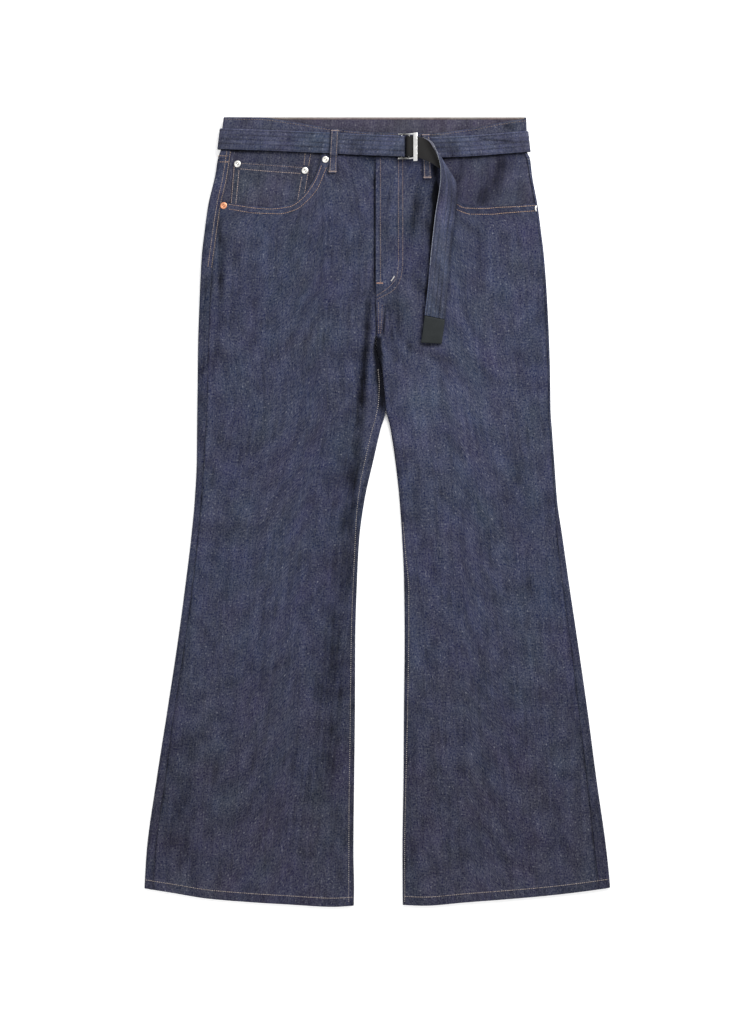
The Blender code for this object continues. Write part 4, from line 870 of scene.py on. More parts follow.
dye = vector_math(denim_weave, "MULTIPLY_ADD", cast, dyed.outputs[2],
                  tinted(denim_weave, dyed.outputs[2], 0.87))
woven = vector_math(denim_weave, "ADD", tinted(denim_weave, dye, factor), white)
feed(denim_weave, vector_math(denim_weave, "MAXIMUM", woven, DARKEST), result["Colour"])
feed(denim_weave, added(denim_weave, 0.88, (fleck, 0.5, 0.2)), result["Roughness"])
feed(denim_weave, added(denim_weave, 0.5, (ridge, 0.0, 0.22), (fleck, 0.5, 0.8), (warp, 0.5, 0.5)),
     result["Height"])

print("nodes in the weave:", len(denim_weave.nodes))

# %% Thread, metal and coating
thread_twist, given, result = node_group(
    "thread_twist", [("Along", "Vector"), ("Dye", "Color"), ("Tint", "Float")],
    [("Colour", "Color"), ("Height", "Float")])
ply = waves(thread_twist, given["Along"], 2.6, 1.0)
feed(thread_twist, tinted(thread_twist, given["Dye"], added(thread_twist, given["Tint"], (ply, 0.0, 0.12))),
     result["Colour"])
feed(thread_twist, ply, result["Height"])

# the Tone input colours the metal darker: painted shade where a buckle part lies under the strap or in its
# shade, and round the rivets' rims and hollows
metal_wear_and_shade, given, result = node_group(
    "metal_wear_and_shade", [("Place", "Vector"), ("Metal", "Color"), ("Tone", "Float"), ("Dull", "Float")],
    [("Colour", "Color"), ("Roughness", "Float"), ("Height", "Float")])
scratch = noise(metal_wear_and_shade, given["Place"], (2600.0, 240.0, 900.0), 2.0)
smear = noise(metal_wear_and_shade, given["Place"], (260.0, 260.0, 260.0), 2.0)
feed(metal_wear_and_shade, tinted(metal_wear_and_shade, given["Metal"], added(metal_wear_and_shade, 1.0, (smear, 0.5, 0.12),
                                                          (given["Tone"], 0.0, 1.0))), result["Colour"])
feed(metal_wear_and_shade, added(metal_wear_and_shade, given["Dull"], (smear, 0.5, 0.2), (scratch, 0.5, 0.16)),
     result["Roughness"])
feed(metal_wear_and_shade, scratch, result["Height"])

coat_grain, given, result = node_group(
    "coat_grain", [("Cloth", "Vector"), ("Coat", "Color")],
    [("Colour", "Color"), ("Roughness", "Float"), ("Height", "Float")])
grain = noise(coat_grain, given["Cloth"], (900.0, 900.0, 1.0), 3.0)
scuff = noise(coat_grain, given["Cloth"], (60.0, 90.0, 1.0), 3.0)
feed(coat_grain, tinted(coat_grain, given["Coat"], added(coat_grain, 1.0, (grain, 0.5, 0.5),
                                                         (scuff, 0.5, 0.5))), result["Colour"])
feed(coat_grain, added(coat_grain, 0.5, (scuff, 0.5, 0.3)), result["Roughness"])
feed(coat_grain, grain, result["Height"])
print("node groups:", [group.name for group in bpy.data.node_groups])


# %% Materials
def finish(name, group, inputs, bump, plain):
    """A Principled material whose colour, roughness and height come from a node group."""
    material = bpy.data.materials.new(name)
    material.use_nodes = True
    tree = material.node_tree
    shader = tree.nodes["Principled BSDF"]
    for label, value in plain.items():
        shader.inputs[label].default_value = value
    effect = tree.nodes.new("ShaderNodeGroup")
    effect.node_tree = group
    for label, value in inputs.items():
        if value == "uv" or value == "object":
            value = tree.nodes.new("ShaderNodeTexCoord").outputs["UV" if value == "uv" else "Object"]
        elif isinstance(value, str):
            attribute = tree.nodes.new("ShaderNodeAttribute")
            attribute.attribute_name = value
            value = attribute.outputs["Fac"]
        feed(tree, value, effect.inputs[label])
    for label, socket in (("Colour", "Base Color"), ("Roughness", "Roughness")):
        if label in effect.outputs:
            tree.links.new(effect.outputs[label], shader.inputs[socket])
    bumps = tree.nodes.new("ShaderNodeBump")
    bumps.inputs["Strength"].default_value = bump[0]
    bumps.inputs["Distance"].default_value = bump[1]
    tree.links.new(effect.outputs["Height"], bumps.inputs["Height"])
    tree.links.new(bumps.outputs["Normal"], shader.inputs["Normal"])
    return material


def denim(name, indigo, fleck_amount=1.0, hem_indigo=None):
    """One dye of denim; the legs have a second one at their hems."""
    cloth = {"Cloth": "uv", "Place": "object", "Indigo": (*indigo, 1.0),
             "Hem indigo": (*(hem_indigo or indigo), 1.0), "Tone": "tone", "Fleck": fleck_amount}
    return finish(name, denim_weave, cloth, (0.6, 0.00025), {"Specular IOR Level": 0.06})


def thread(name, dye):
    """One colour of sewing thread."""
    strand = {"Along": "uv", "Dye": (*dye, 1.0), "Tint": "tint"}
    return finish(name, thread_twist, strand, (0.3, 0.0001), {"Roughness": 0.7, "Specular IOR Level": 0.15})


def metal(name, colour, dull):
    """One metal; the dull value is its roughness before wear."""
    surface = {"Place": "object", "Metal": (*colour, 1.0), "Tone": "tone", "Dull": dull}
    return finish(name, metal_wear_and_shade, surface, (0.1, 0.00004), {"Metallic": 1.0})


def coated(name, colour):
    """The belt's dark backing, a coated cloth."""
    return finish(name, coat_grain, {"Cloth": "uv", "Coat": (*colour, 1.0)}, (0.4, 0.0001),
                  {"Specular IOR Level": 0.12})


leg_denim = denim("leg_denim", (0.0332, 0.0370, 0.0636), 1.0, (0.0338, 0.0347, 0.0560))
right_pocket_denim = denim("right_pocket_denim", (0.0370, 0.0390, 0.0610))
facing_denim = denim("left_pocket_denim", (0.0325, 0.0340, 0.0565), 0.7)
band_denim = denim("band_denim", (0.0405, 0.0435, 0.0690))
inside_denim = denim("inside_denim", (0.0450, 0.0415, 0.0610), 0.8)
belt_denim = denim("belt_denim", (0.0425, 0.0470, 0.0780), 0.9)
binding_tape = denim("binding_tape", (0.170, 0.150, 0.142), 0.8)
edge_denim = denim("cut_edge_denim", (0.060, 0.065, 0.080), 0.6)
THREADS = {
    "hem": (0.320, 0.270, 0.240), "fly": (0.200, 0.150, 0.135), "inseam": (0.295, 0.268, 0.255),
    "band": (0.180, 0.135, 0.110), "loop": (0.305, 0.234, 0.190), "mouth": (0.322, 0.222, 0.168),
    "pocket": (0.374, 0.254, 0.182), "coin": (0.345, 0.268, 0.240), "binding": (0.250, 0.220, 0.210),
    "rust": (0.220, 0.130, 0.120), "orange": (0.36, 0.22, 0.17), "pink": (0.27, 0.21, 0.20),
    "white": (0.46, 0.44, 0.42), "belt": (0.044, 0.047, 0.068), "edge": (0.30, 0.32, 0.36)}
threads = {name: thread(name + "_thread", dye) for name, dye in THREADS.items()}
backing = coated("dark_backing", (0.0120, 0.0115, 0.0115))
tip_coat = coated("tip_coating", (0.0170, 0.0195, 0.0205))
buckle_metal = metal("buckle_metal", (0.97, 0.96, 0.95), 0.24)
silver_metal = metal("silver_metal", (0.84, 0.82, 0.78), 0.42)
copper_metal = metal("copper_metal", (0.80, 0.36, 0.21), 0.45)
print("materials:", len(bpy.data.materials))


# %% [markdown]
# ## Making a sheet
#
# A grid of points becomes a mesh of four-sided faces. Its UV map is the distance travelled along the
# cloth in metres, as if it were unrolled. Solidify gives the wall, with a paler inside, and a small
# bevel rounds the cut edges, because even a thin edge catches the light.

# %% Sheet helpers
def travelled_both_ways(grid):
    """Distance in metres along the rows and down the columns of a grid, as one UV for each point."""
    across = np.linalg.norm(np.diff(grid, axis=1), axis=2)
    down = np.linalg.norm(np.diff(grid, axis=0), axis=2)
    u = np.pad(np.cumsum(across, axis=1), ((0, 0), (1, 0)))
    v = np.pad(np.cumsum(down, axis=0), ((1, 0), (0, 0)))
    return np.stack((u - u[:, -1:] / 2, -v), axis=-1) * MM


def outward(grid):
    """The way out of a sheet at each of its points."""
    way = np.cross(np.gradient(grid, axis=0), np.gradient(grid, axis=1))
    return way / np.linalg.norm(way, axis=-1, keepdims=True)


def turned_over(grid, tone):
    """The same sheet with its columns in the other order, so that its other face is its outside."""
    return grid[:, ::-1], tone[:, ::-1]


def fill_mesh(name, points, faces, uv, label, values):
    """A smooth mesh from points in millimetres, with a UV map and one named value for each point."""
    mesh = bpy.data.meshes.new(name)
    mesh.from_pydata((points * MM).tolist(), [], faces)
    corners = np.empty(len(mesh.loops), dtype=np.int32)
    mesh.loops.foreach_get("vertex_index", corners)
    mesh.uv_layers.new(name="UVMap").uv.foreach_set("vector", uv[corners].astype(np.float32).ravel())
    mesh.attributes.new(label, "FLOAT", "POINT").data.foreach_set("value", values.astype(np.float32))
    mesh.shade_smooth()
    return mesh


def show(name, mesh, finishes, stands_for=()):
    """Put a finished piece in the scene, on the part's one body."""
    piece = bpy.data.objects.new(name, mesh)
    bpy.context.scene.collection.objects.link(piece)
    for material in finishes:
        mesh.materials.append(material)
    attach(piece, "root")
    if stands_for:
        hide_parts(*stands_for)
    return piece


sheets = {}
UV_APART = 0.37                     # moves each sheet to its own place in the weave


def cloth(name, grid, thickness, finishes, slot, node, lies_on, tone=None):
    """A sheet of cloth: its outside, its inside and its cut edge are the three finishes."""
    rows, columns = grid.shape[:2]
    corner = np.arange(rows * columns).reshape(rows, columns)
    faces = np.stack((corner[:-1, :-1], corner[1:, :-1], corner[1:, 1:], corner[:-1, 1:]), axis=-1)
    if tone is None:
        tone = np.zeros((rows, columns))
    uv = travelled_both_ways(grid).reshape(-1, 2) + UV_APART * len(sheets)
    mesh = fill_mesh(name, grid.reshape(-1, 3), faces.reshape(-1, 4).tolist(), uv, "tone", tone.ravel())
    piece = show(name, mesh, finishes, [node] if node else [])
    wall = piece.modifiers.new("Wall", "SOLIDIFY")
    wall.thickness = thickness * MM
    wall.offset = 0.0
    wall.use_even_offset = True
    wall.material_offset = 1
    wall.material_offset_rim = 2 if len(finishes) > 2 else 0
    soft = piece.modifiers.new("Soft edge", "BEVEL")
    soft.width = 0.3 * thickness * MM
    soft.segments = 2
    soft.limit_method = "ANGLE"
    soft.angle_limit = np.radians(50.0)
    sides = np.cross(grid[1:, 1:] - grid[:-1, :-1], grid[1:, :-1] - grid[:-1, 1:])
    area = np.linalg.norm(sides, axis=2).sum() / 2
    width = np.linalg.norm(np.diff(grid, axis=1), axis=2).sum(axis=1).max()
    length = np.linalg.norm(np.diff(grid, axis=0), axis=2).sum(axis=0).max()
    sheets[name] = {"piece": piece, "grid": grid, "thick": thickness, "flat": (width * MM, length * MM),
                    "area": area * MM * MM, "on": lies_on, "sewing": []}
    print("%-28s %4d x %-4d points, cloth %.0f x %.0f mm" % (name, rows, columns, width, length))


# %% [markdown]
# ## Leg panels
#
# The front runs from the waist seam and the pocket mouth to the hem, and from the side seam to the
# turn at the inner edge. The back starts at the side seam on the front face, comes round the outer
# edge, lies underneath and ends at the inseam. Rows are close together at the hem, where the turned
# edge and its stitching pull the cloth into small puckers.

# %% Rows and columns of the panels
SPANS = 66                          # columns of a front's level part
BACK_SPANS = 52                     # and of a back's
FLY_STOPS = np.array([30.0, 24.0, 20.0, 16.5, 13.5, 11.3, 9.8, 8.3, 5.9, 3.4, 1.6])
TURN = 1.0 - np.cos(np.radians([90.0, 78.0, 66.0, 54.0, 42.0, 30.0, 19.0, 9.0]))
OVER = 1.0 - np.cos(np.linspace(np.pi / 2, 0.0, 15))
UNDER = 1.0 - np.cos(np.radians([14.0, 28.0, 42.0, 56.0, 72.0, 90.0]))
HEM_ROWS = np.array([16.0, 14.5, 13.5, 12.8, 12.0, 11.2, 10.0, 8.0, 6.0, 4.0, 2.2, 1.0, 0.3, 0.0])
YOKE_GAP = 0.5
MOUTH_ROWS = np.concatenate(([0.0, 0.006, 0.014, 0.03, 0.06, 0.1], np.linspace(0.14, 1.0, 22)[:-1]))
BACK_TOP_ROWS = 20
YOKE_ROWS = 15
TO_HEM_ROWS = 9


def rows_down(top, low_top, hem):
    """Heights for each row and column: from the top line to level rows, and down to the curved hem."""
    level_rows = np.append(np.arange(POCKET_LINE_Y, HEM_START_Y, -ROW_STEP), HEM_START_Y)
    upper = blend(low_top, POCKET_LINE_Y, top)
    share = np.linspace(0.0, 1.0, TO_HEM_ROWS)[1:-1, None]
    to_hem = blend(HEM_START_Y, hem + HEM_ROWS[0], share)
    legs = np.repeat(level_rows[:, None], len(hem), axis=1)
    return upper, np.concatenate((legs, to_hem, hem + HEM_ROWS[:, None]))


def across_stops(width, reach):
    """Distances across a front from its outer end, closer together at the fly and round the turn."""
    flat_end = SPANS + len(FLY_STOPS)
    even = (width - reach)[..., :SPANS] - FLY_STOPS[0]
    even = even * np.linspace(0.0, 1.0, SPANS + 1)[:-1]
    at_fly = (width - reach)[..., SPANS:flat_end] - FLY_STOPS
    at_turn = width[..., flat_end:] - reach[..., flat_end:] * TURN
    return np.concatenate((even, at_fly, at_turn), axis=-1)


print("columns of a front:", SPANS + len(FLY_STOPS) + len(TURN))


# %% Front panels
def front_x(side, y):
    """X across a front panel; y has a height for each column."""
    start = seam_x(side, y) + inwards(side) * GAP / 2
    reach = turn_radius(y) * (1.0 + VALLEY_WIDTH[side] * between_thighs(y))
    return start + inwards(side) * across_stops(np.abs(front_end_x(side, y) - start), reach)


def top_line(side):
    """Top edge of a front panel: along the pocket mouth, then along the waistband."""
    mouth = side_points(MOUTHS, side)
    mouth[0, 0] = seam_x(side, mouth[0, 1]) + inwards(side) * GAP / 2
    waist_x = np.linspace(mouth[-1, 0], front_end_x(side, 480.0), 4)
    waist_y = waist("bottom", waist_x) - GAP
    mouth[-1, 1] = waist_y[0]
    points = np.concatenate((mouth, np.stack((waist_x, waist_y), axis=1)[1:]))
    at = travelled(points)
    columns = SPANS + len(FLY_STOPS) + len(TURN)
    stops = across_stops(np.full(columns, at[-1]), np.full(columns, turn_radius(480.0)))
    return smooth(stops, at, points[:, 0]), smooth(stops, at, points[:, 1])


def front_panel(side):
    """Grid and tone of a front leg panel."""
    top_x, top_y = top_line(side)
    level_x = front_x(side, np.full(len(top_x), HEM_START_Y))
    outer = outer_middle(side, HEM_START_Y)
    hem = hem_y(side, (level_x - outer) / (inner_end_x(side, HEM_START_Y) - outer))
    share = MOUTH_ROWS[:, None]
    upper_y, y = rows_down(share, top_y, hem)
    x = front_x(side, y)
    x = np.concatenate((blend(top_x, x[0], share), x))
    y = np.concatenate((upper_y, y))
    z, tone = front_height(side, x, y)
    grid = np.stack((x, y, z), axis=-1)
    return (grid, tone) if side == "r" else turned_over(grid, tone)


print("the right front's top line starts at X %.1f, Y %.1f" % tuple(line[0] for line in top_line("r")))


# %% Back panels and yokes
def round_the_back(side, y):
    """Grid and tone over the outer edge, underneath, and up the inner edge's turn."""
    sign = inwards(side)
    turn_end = len(OVER) + len(UNDER)
    over_y = y[:, :len(OVER)]
    over = section(side + "_over", over_y) - CLOTH / 2 - GAP / 2
    over_x = outer_middle(side, over_y) + sign * over * OVER
    turn_y = y[:, len(OVER):turn_end]
    turn_x = outer_middle(side, turn_y) + sign * turn_radius(turn_y) * UNDER
    end_y = y[:, -len(TURN):]
    end_x = inner_end_x(side, end_y) - sign * turn_radius(end_y) * TURN
    share = np.linspace(0.0, 1.0, BACK_SPANS + 1)[1:-1]
    flat_x = turn_x[:, -1:] + (end_x[:, :1] - turn_x[:, -1:]) * share
    x = np.concatenate((over_x, turn_x, flat_x, end_x), axis=1)
    above, above_tone = front_height(side, x, y)
    below, below_tone = back_height(side, x, y)
    on_front = np.arange(x.shape[1]) < len(OVER)
    grid = np.stack((x, y, np.where(on_front, above, below)), axis=-1)
    tone = np.where(on_front, above_tone, below_tone)
    return (grid, tone) if side == "l" else turned_over(grid, tone)


def back_shares(side):
    """Share of the width, outer edge 0 to inner edge 1, at each column round the back."""
    width = np.abs(inner_end_x(side, HEM_START_Y) - outer_middle(side, HEM_START_Y))
    over = OVER * section(side + "_over", HEM_START_Y) / width
    inside = np.linspace(0.0, 1.0, BACK_SPANS + 1)[1:-1]
    return np.concatenate((over, np.zeros(len(UNDER)), inside, np.ones(len(TURN))))


def yoke_y(across):
    """Y of the back yoke's seam at a share of the width."""
    return smooth(across, YOKE_SEAM["across"], YOKE_SEAM["y"])


def back_panel(side):
    """Grid and tone of a back leg panel, from the yoke seam to the hem."""
    across = back_shares(side)
    share = np.linspace(0.0, 1.0, BACK_TOP_ROWS)[:-1, None]
    upper, legs = rows_down(share, yoke_y(across) - YOKE_GAP / 2, hem_y(side, across))
    return round_the_back(side, np.concatenate((upper, legs)))


def yoke(side):
    """Grid and tone of a back yoke, from the waistband seam to the yoke seam."""
    across = back_shares(side)
    top = np.full(across.shape, BACK_SEAM_Y - GAP)
    top[:len(OVER) + len(UNDER)] = waist("bottom", seam_x(side, BACK_SEAM_Y)) - GAP
    share = np.linspace(0.0, 1.0, YOKE_ROWS)[:, None]
    return round_the_back(side, blend(top, yoke_y(across) + YOKE_GAP / 2, share))


SIDES = (("r", "right"), ("l", "left"))
for side, name in SIDES:
    for kind, panel, lies_on in (("front", front_panel, "back"), ("back", back_panel, "back_pocket"),
                                 ("yoke", yoke, "back")):
        grid, tone = panel(side)
        cloth("%s_%s_cloth" % (kind, name), grid, CLOTH, [leg_denim, inside_denim], "denim",
              "%s_%s" % (kind, name), "%s_%s_cloth" % (lies_on, name), tone)


# %% [markdown]
# ## Pockets
#
# Behind each slanted mouth lies a facing of the same denim, and the small coin pocket is sewn to the
# right one. Both are one or two walls lower than the front, so the mouth casts a real shadow. The
# patch pockets lie flat underneath.

# %% Facings, coin pocket and back pockets
FACING_COLUMNS = 48
FACING_ROWS = 30
FACING_TOP_Y = 500.0
FACING_LEAN = 2.0                   # a facing is this much wider at its top
FACING_FROM_EDGE = 3.2              # it keeps this far from the turned outer edge
FACING_FROM_SEAM = 1.0              # and this far under the side seam
SEAM_DENT = 1.3                     # the left facing comes up this much beside the side seam


def facing_depth(side, x, y):
    """How far the facing lies below the front: one wall, or two where the coin pocket lies on it."""
    if side == "l":
        from_seam = seam_x(side, y) - x
        away, _ = distance_to(x, y, mouth_line(side))
        beside_seam = ease(from_seam, 0.6, 3.2) * ease(-from_seam, -20.0, -9.0) * ease(away, 6.0, 16.0)
        return LAP + EASE * ease(-y, -498.0, -486.0) - SEAM_DENT * beside_seam * ease(-y, -494.0, -480.0)
    under_coin = ease(x - seam_x(side, y), -1.0, 7.0) * ease(-y, -496.0, -486.0)
    return LAP + (LAP + EASE / 2) * under_coin


def facing_start_x(side, y):
    """X of a facing's outer edge: just under the side seam, and clear of the turned edge."""
    from_edge = np.maximum(section(side + "_over", y) - FACING_FROM_SEAM, FACING_FROM_EDGE)
    return section(side + "_edge", y) + inwards(side) * from_edge


def facing(side):
    """Grid and tone of the denim behind a pocket mouth."""
    shares = np.linspace(0.0, 1.0, FACING_COLUMNS) ** 1.2
    low = side_points(FACINGS, side)
    low[0, 0] = facing_start_x(side, low[0, 1])
    low = along(low, shares * travelled(low)[-1])
    top_start = facing_start_x(side, FACING_TOP_Y)
    top_x = top_start + (low[-1, 0] + inwards(side) * FACING_LEAN - top_start) * shares
    top_y = waist("bottom", top_x) - GAP
    share = np.linspace(0.0, 1.0, FACING_ROWS)[:, None]
    x = blend(top_x, low[:, 0], share)
    y = blend(top_y, low[:, 1], share)
    x[:, 0] = facing_start_x(side, y[:, 0])
    relief, tone = crease_field(x, y, CREASES_FACING)
    tone -= under_belt(x, y)
    z = plain_front(side, x, y) - facing_depth(side, x, y) + 0.5 * relief
    grid = np.stack((x, y, z), axis=-1)
    return (grid, tone) if side == "r" else turned_over(grid, tone)


def coin_pocket():
    """Grid of the coin pocket, which lies between the facing and the front."""
    x, y = COIN_POCKET["x"], COIN_POCKET["y"]
    u = np.linspace(0.0, 1.0, 34)[None, :]
    v = np.concatenate(([0.0, 0.012, 0.03, 0.05], np.linspace(0.08, 1.0, 20)))[:, None]
    grid_x = blend(blend(x[0], x[1], u), blend(x[3], x[2], u), v)
    grid_y = blend(blend(y[0], y[1], u), blend(y[3], y[2], u), v)
    z = plain_front("r", grid_x, grid_y) - LAP + 0.15 * ease(-v, -0.16, -0.12)
    return np.stack((grid_x, grid_y, z), axis=-1)


POCKET_TOP_Y = 440.0
POCKET_DEPTH = 110.0                # down its sides
POCKET_POINT = 14.0                 # and this much more in the middle
POCKET_MIDDLE_X = {"r": -112.0, "l": 108.0}
POCKET_HALF_WIDTH = 70.0
POCKET_NARROWS = 6.0                # on each side, from top to foot
POCKET_SLANT = 3.0


def back_pocket(side):
    """Grid of a patch pocket lying flat under the back panel."""
    sign = inwards(side)
    u = np.linspace(-1.0, 1.0, 31)[None, :]
    v = np.linspace(0.0, 1.0, 26)[:, None]
    x = POCKET_MIDDLE_X[side] - sign * POCKET_SLANT * v + u * (POCKET_HALF_WIDTH - POCKET_NARROWS * v)
    y = POCKET_TOP_Y + POCKET_SLANT * u * sign - v * (POCKET_DEPTH + POCKET_POINT * (1.0 - np.abs(u)))
    return np.stack((x, y, np.full(x.shape, CLOTH / 2)), axis=-1)[:, ::-1]


for side, name in SIDES:
    grid, tone = facing(side)
    cloth("pocket_facing_%s_cloth" % name, grid, CLOTH,
          [right_pocket_denim if side == "r" else facing_denim, inside_denim], "denim",
          "pocket_facing_" + name, "back_%s_cloth" % name, tone)
    cloth("back_pocket_%s_cloth" % name, back_pocket(side), CLOTH, [leg_denim, inside_denim], "denim",
          "back_pocket_" + name, "floor")
cloth("coin_pocket_cloth", coin_pocket(), CLOTH, [right_pocket_denim, inside_denim], "denim",
      "coin_pocket", "pocket_facing_right_cloth")


# %% [markdown]
# ## Waistband, belt and loops
#
# The waistband is two layers thick. It runs round the flattened waist, from the underlap at the
# centre front, over the right side, along the back and over the left side, to the lap with the
# button. The belt follows it one layer further out. Its buckle end is sewn round the left bar, and
# the free end comes up round the middle bar, folds over and hangs down the left thigh.

# %% Waistband
WAIST_Y = 508.0                     # the walls' heights for the band and belt are taken here
SIDE_STEPS = 16                     # round each side of the waist
BACK_STEPS = 100
BAND_FROM_SIDE = 12.0               # the band's level front starts this far from its sides
BAND_LAP_START_X = 40.0             # its columns are closer together from here
BAND_LAP_END_X = -2.4               # to the end of the lap
BAND_LAP_HOLD_X = 13.0              # the lap is level to here
BAND_LAP_DOWN_X = 25.0              # and down on the front's level here
BAND_UNDERLAP_X = 12.0              # end of the part under the lap


def half_turn(x, low, high, side_sign):
    """Points of a half circle in X and Z from the high level down to the low level."""
    angle = np.linspace(np.pi / 2, -np.pi / 2, SIDE_STEPS + 1)
    radius = (high - low) / 2
    centre = x - side_sign * radius
    return np.stack((centre + side_sign * radius * np.cos(angle), low + radius + radius * np.sin(angle)), 1)


def ring_path(right_x, left_x, low, high, front_right, front_left):
    """X and Z round the body: front right part, right side, back, left side, front left part."""
    right_turn = half_turn(right_x, low, high, -1.0)
    left_turn = half_turn(left_x, low, high, 1.0)[::-1]
    back_x = np.linspace(right_turn[-1, 0], left_turn[0, 0], BACK_STEPS)[1:-1]
    back = np.stack((back_x, np.full(back_x.shape, low)), axis=1)
    return np.concatenate((front_right, right_turn, back, left_turn, front_left))


def level_line(x, z):
    """Points in X and Z at one height."""
    return np.stack((x, np.full(x.shape, z)), axis=1)


band_low = float(level("back", WAIST_Y))
band_high = float(level("front", WAIST_Y))
belt_low = band_low - (BAND + BELT) / 2 - GAP
belt_high = band_high + (BAND + BELT) / 2 + GAP


def waistband():
    """Grid and tone of the waistband; its left end laps over its right end at the centre front."""
    raised = band_high + BAND + GAP
    bottom_x = (BELT_EDGE_X[0] + BELT + GAP + BAND / 2, BELT_EDGE_X[1] - BELT - GAP - BAND / 2)
    top_x = (BAND_TOP_X[0] + BAND / 2, BAND_TOP_X[1] - BAND / 2)
    edges = []
    for right, left in (top_x, bottom_x):
        front_right = level_line(np.linspace(BAND_UNDERLAP_X, right + BAND_FROM_SIDE, 70), band_high)
        left_x = np.concatenate((np.linspace(left - BAND_FROM_SIDE, BAND_LAP_START_X, 52),
                                 np.linspace(BAND_LAP_START_X - 2.0, BAND_LAP_END_X, 22)))
        lap = 1.0 - ease(left_x, BAND_LAP_HOLD_X, BAND_LAP_DOWN_X)
        front_left = np.stack((left_x, band_high + (raised - band_high) * lap), axis=1)
        edges.append(ring_path(right, left, band_low, band_high, front_right, front_left))
    top, bottom = edges
    front = ease(top[:, 1], band_low, band_high)
    top_y = blend(BACK_TOP_Y, waist("top", top[:, 0]), front)
    bottom_y = blend(BACK_SEAM_Y, waist("bottom", bottom[:, 0]), front)
    share = np.linspace(0.0, 1.0, 16)[:, None]
    x = blend(top[:, 0], bottom[:, 0], share)
    y = blend(top_y, bottom_y, share)
    z = blend(top[:, 1], bottom[:, 1], share) + front * slow_waves(x, y, 21, 60.0, 0.12)
    tone = front * crease_field(x, y, CREASES_BAND)[1]
    return turned_over(np.stack((x, y, z), axis=-1), tone)


band_grid, band_tone = waistband()
cloth("waistband_cloth", band_grid, BAND, [band_denim, inside_denim], "denim", "waistband",
      "yoke_right_cloth", band_tone)

# %% Belt strap
BELT_SLANT = 0.00055                # share by which the belt is shorter round the waist for each mm up
STRAP_END = 3.4                     # the strap's cut end lies this far behind the left bar
STRAP_RISE_X = (-38.0, -6.0)        # the belt comes up to the buckle between these
STRAP_RIGHT_X = (27.0, -190.0)      # its level run on the right, from the buckle to the side
STRAP_LEFT_X = 188.0                # and where it starts on the left
TAIL_START = 2.0                    # the tail begins this far beyond the middle bar
GROOVE_SHADE = 0.5
GROOVE_WIDTH = 0.028                # as a share of the belt's width
BELT_ROWS = (0.08, 0.29, 0.5, 0.71, 0.92)    # its rows of sewing, as shares of its width


def belt_grooves(across, run):
    """Tone of the belt: painted shade in the grooves of its rows of sewing, which come and go, and slow
    patches between them.
    """
    tone = 0.09 * np.sin(run * 0.11 + 3.0 * across) * np.sin(run * 0.043 + 7.0 * across + 1.0)
    for row in BELT_ROWS:
        comes = 0.6 + 0.4 * np.sin(run * 0.05 + 9.0 * row)
        tone = tone - GROOVE_SHADE * comes * np.exp(-((across - row) / GROOVE_WIDTH) ** 2)
    return tone


def belt_strap():
    """Grid of the belt from its loop round the buckle's left bar, round the waist, to the buckle."""
    top = BUCKLE_Z + BAR_TO_STRAP
    angle = np.linspace(-np.pi / 2, np.pi / 2, 15)
    bar = np.stack((LEFT_BAR_X + BAR_TO_STRAP * np.cos(angle), BUCKLE_Z + BAR_TO_STRAP * np.sin(angle)), 1)
    start = np.array([[LEFT_BAR_X - STRAP_END, BUCKLE_Z - BAR_TO_STRAP]])
    run_x = np.linspace(*STRAP_RIGHT_X, 76)
    run_z = belt_high + (top - belt_high) * ease(run_x, *STRAP_RISE_X)
    front_right = np.concatenate((start, bar, np.stack((run_x, run_z), axis=1)))
    front_left = level_line(np.linspace(STRAP_LEFT_X, MIDDLE_BAR_X + TAIL_START + GAP, 50), belt_high)
    path = ring_path(BELT_EDGE_X[0] + BELT / 2, BELT_EDGE_X[1] - BELT / 2, belt_low, belt_high,
                     front_right, front_left)
    front = ease(path[:, 1], belt_low, belt_high)
    middle = blend(waist("belt_back", path[:, 0]), waist("belt", path[:, 0]), front)
    share = np.linspace(1.0, -1.0, 31)[:, None]
    y = middle + share * BELT_HALF_WIDTH
    x = path[:, 0] * (1.0 - BELT_SLANT * share * BELT_HALF_WIDTH * ease(np.abs(path[:, 0]), 60.0, 200.0))
    z = path[:, 1] + front * (slow_waves(x, y, 8, 70.0, 0.15) - 0.12 * share ** 4)
    # painted highlight along the belt's upper edge, and painted shade along its lower edge
    tone = 0.45 * ease(share, 0.88, 0.97) - 0.7 * ease(-share, 0.93, 1.0)
    tone = tone + belt_grooves((1.0 - share) / 2, x) + crease_field(x, y, CREASES_BELT)[1]
    return turned_over(np.stack((x, y, z), axis=-1), tone)


strap_grid, strap_tone = belt_strap()
cloth("belt_strap_cloth", strap_grid, BELT, [belt_denim, backing], "belt_denim", "belt_strap",
      "waistband_cloth", strap_tone)

# %% [markdown]
# ## The belt's tail
#
# Behind the buckle the strap folds over and hangs down, and the fold can't be seen in the photograph.
# Each row of this table is one line across the strap, from its upper edge a to its lower edge b, so
# the strap can twist and tilt as it turns downwards, and its width stays true.

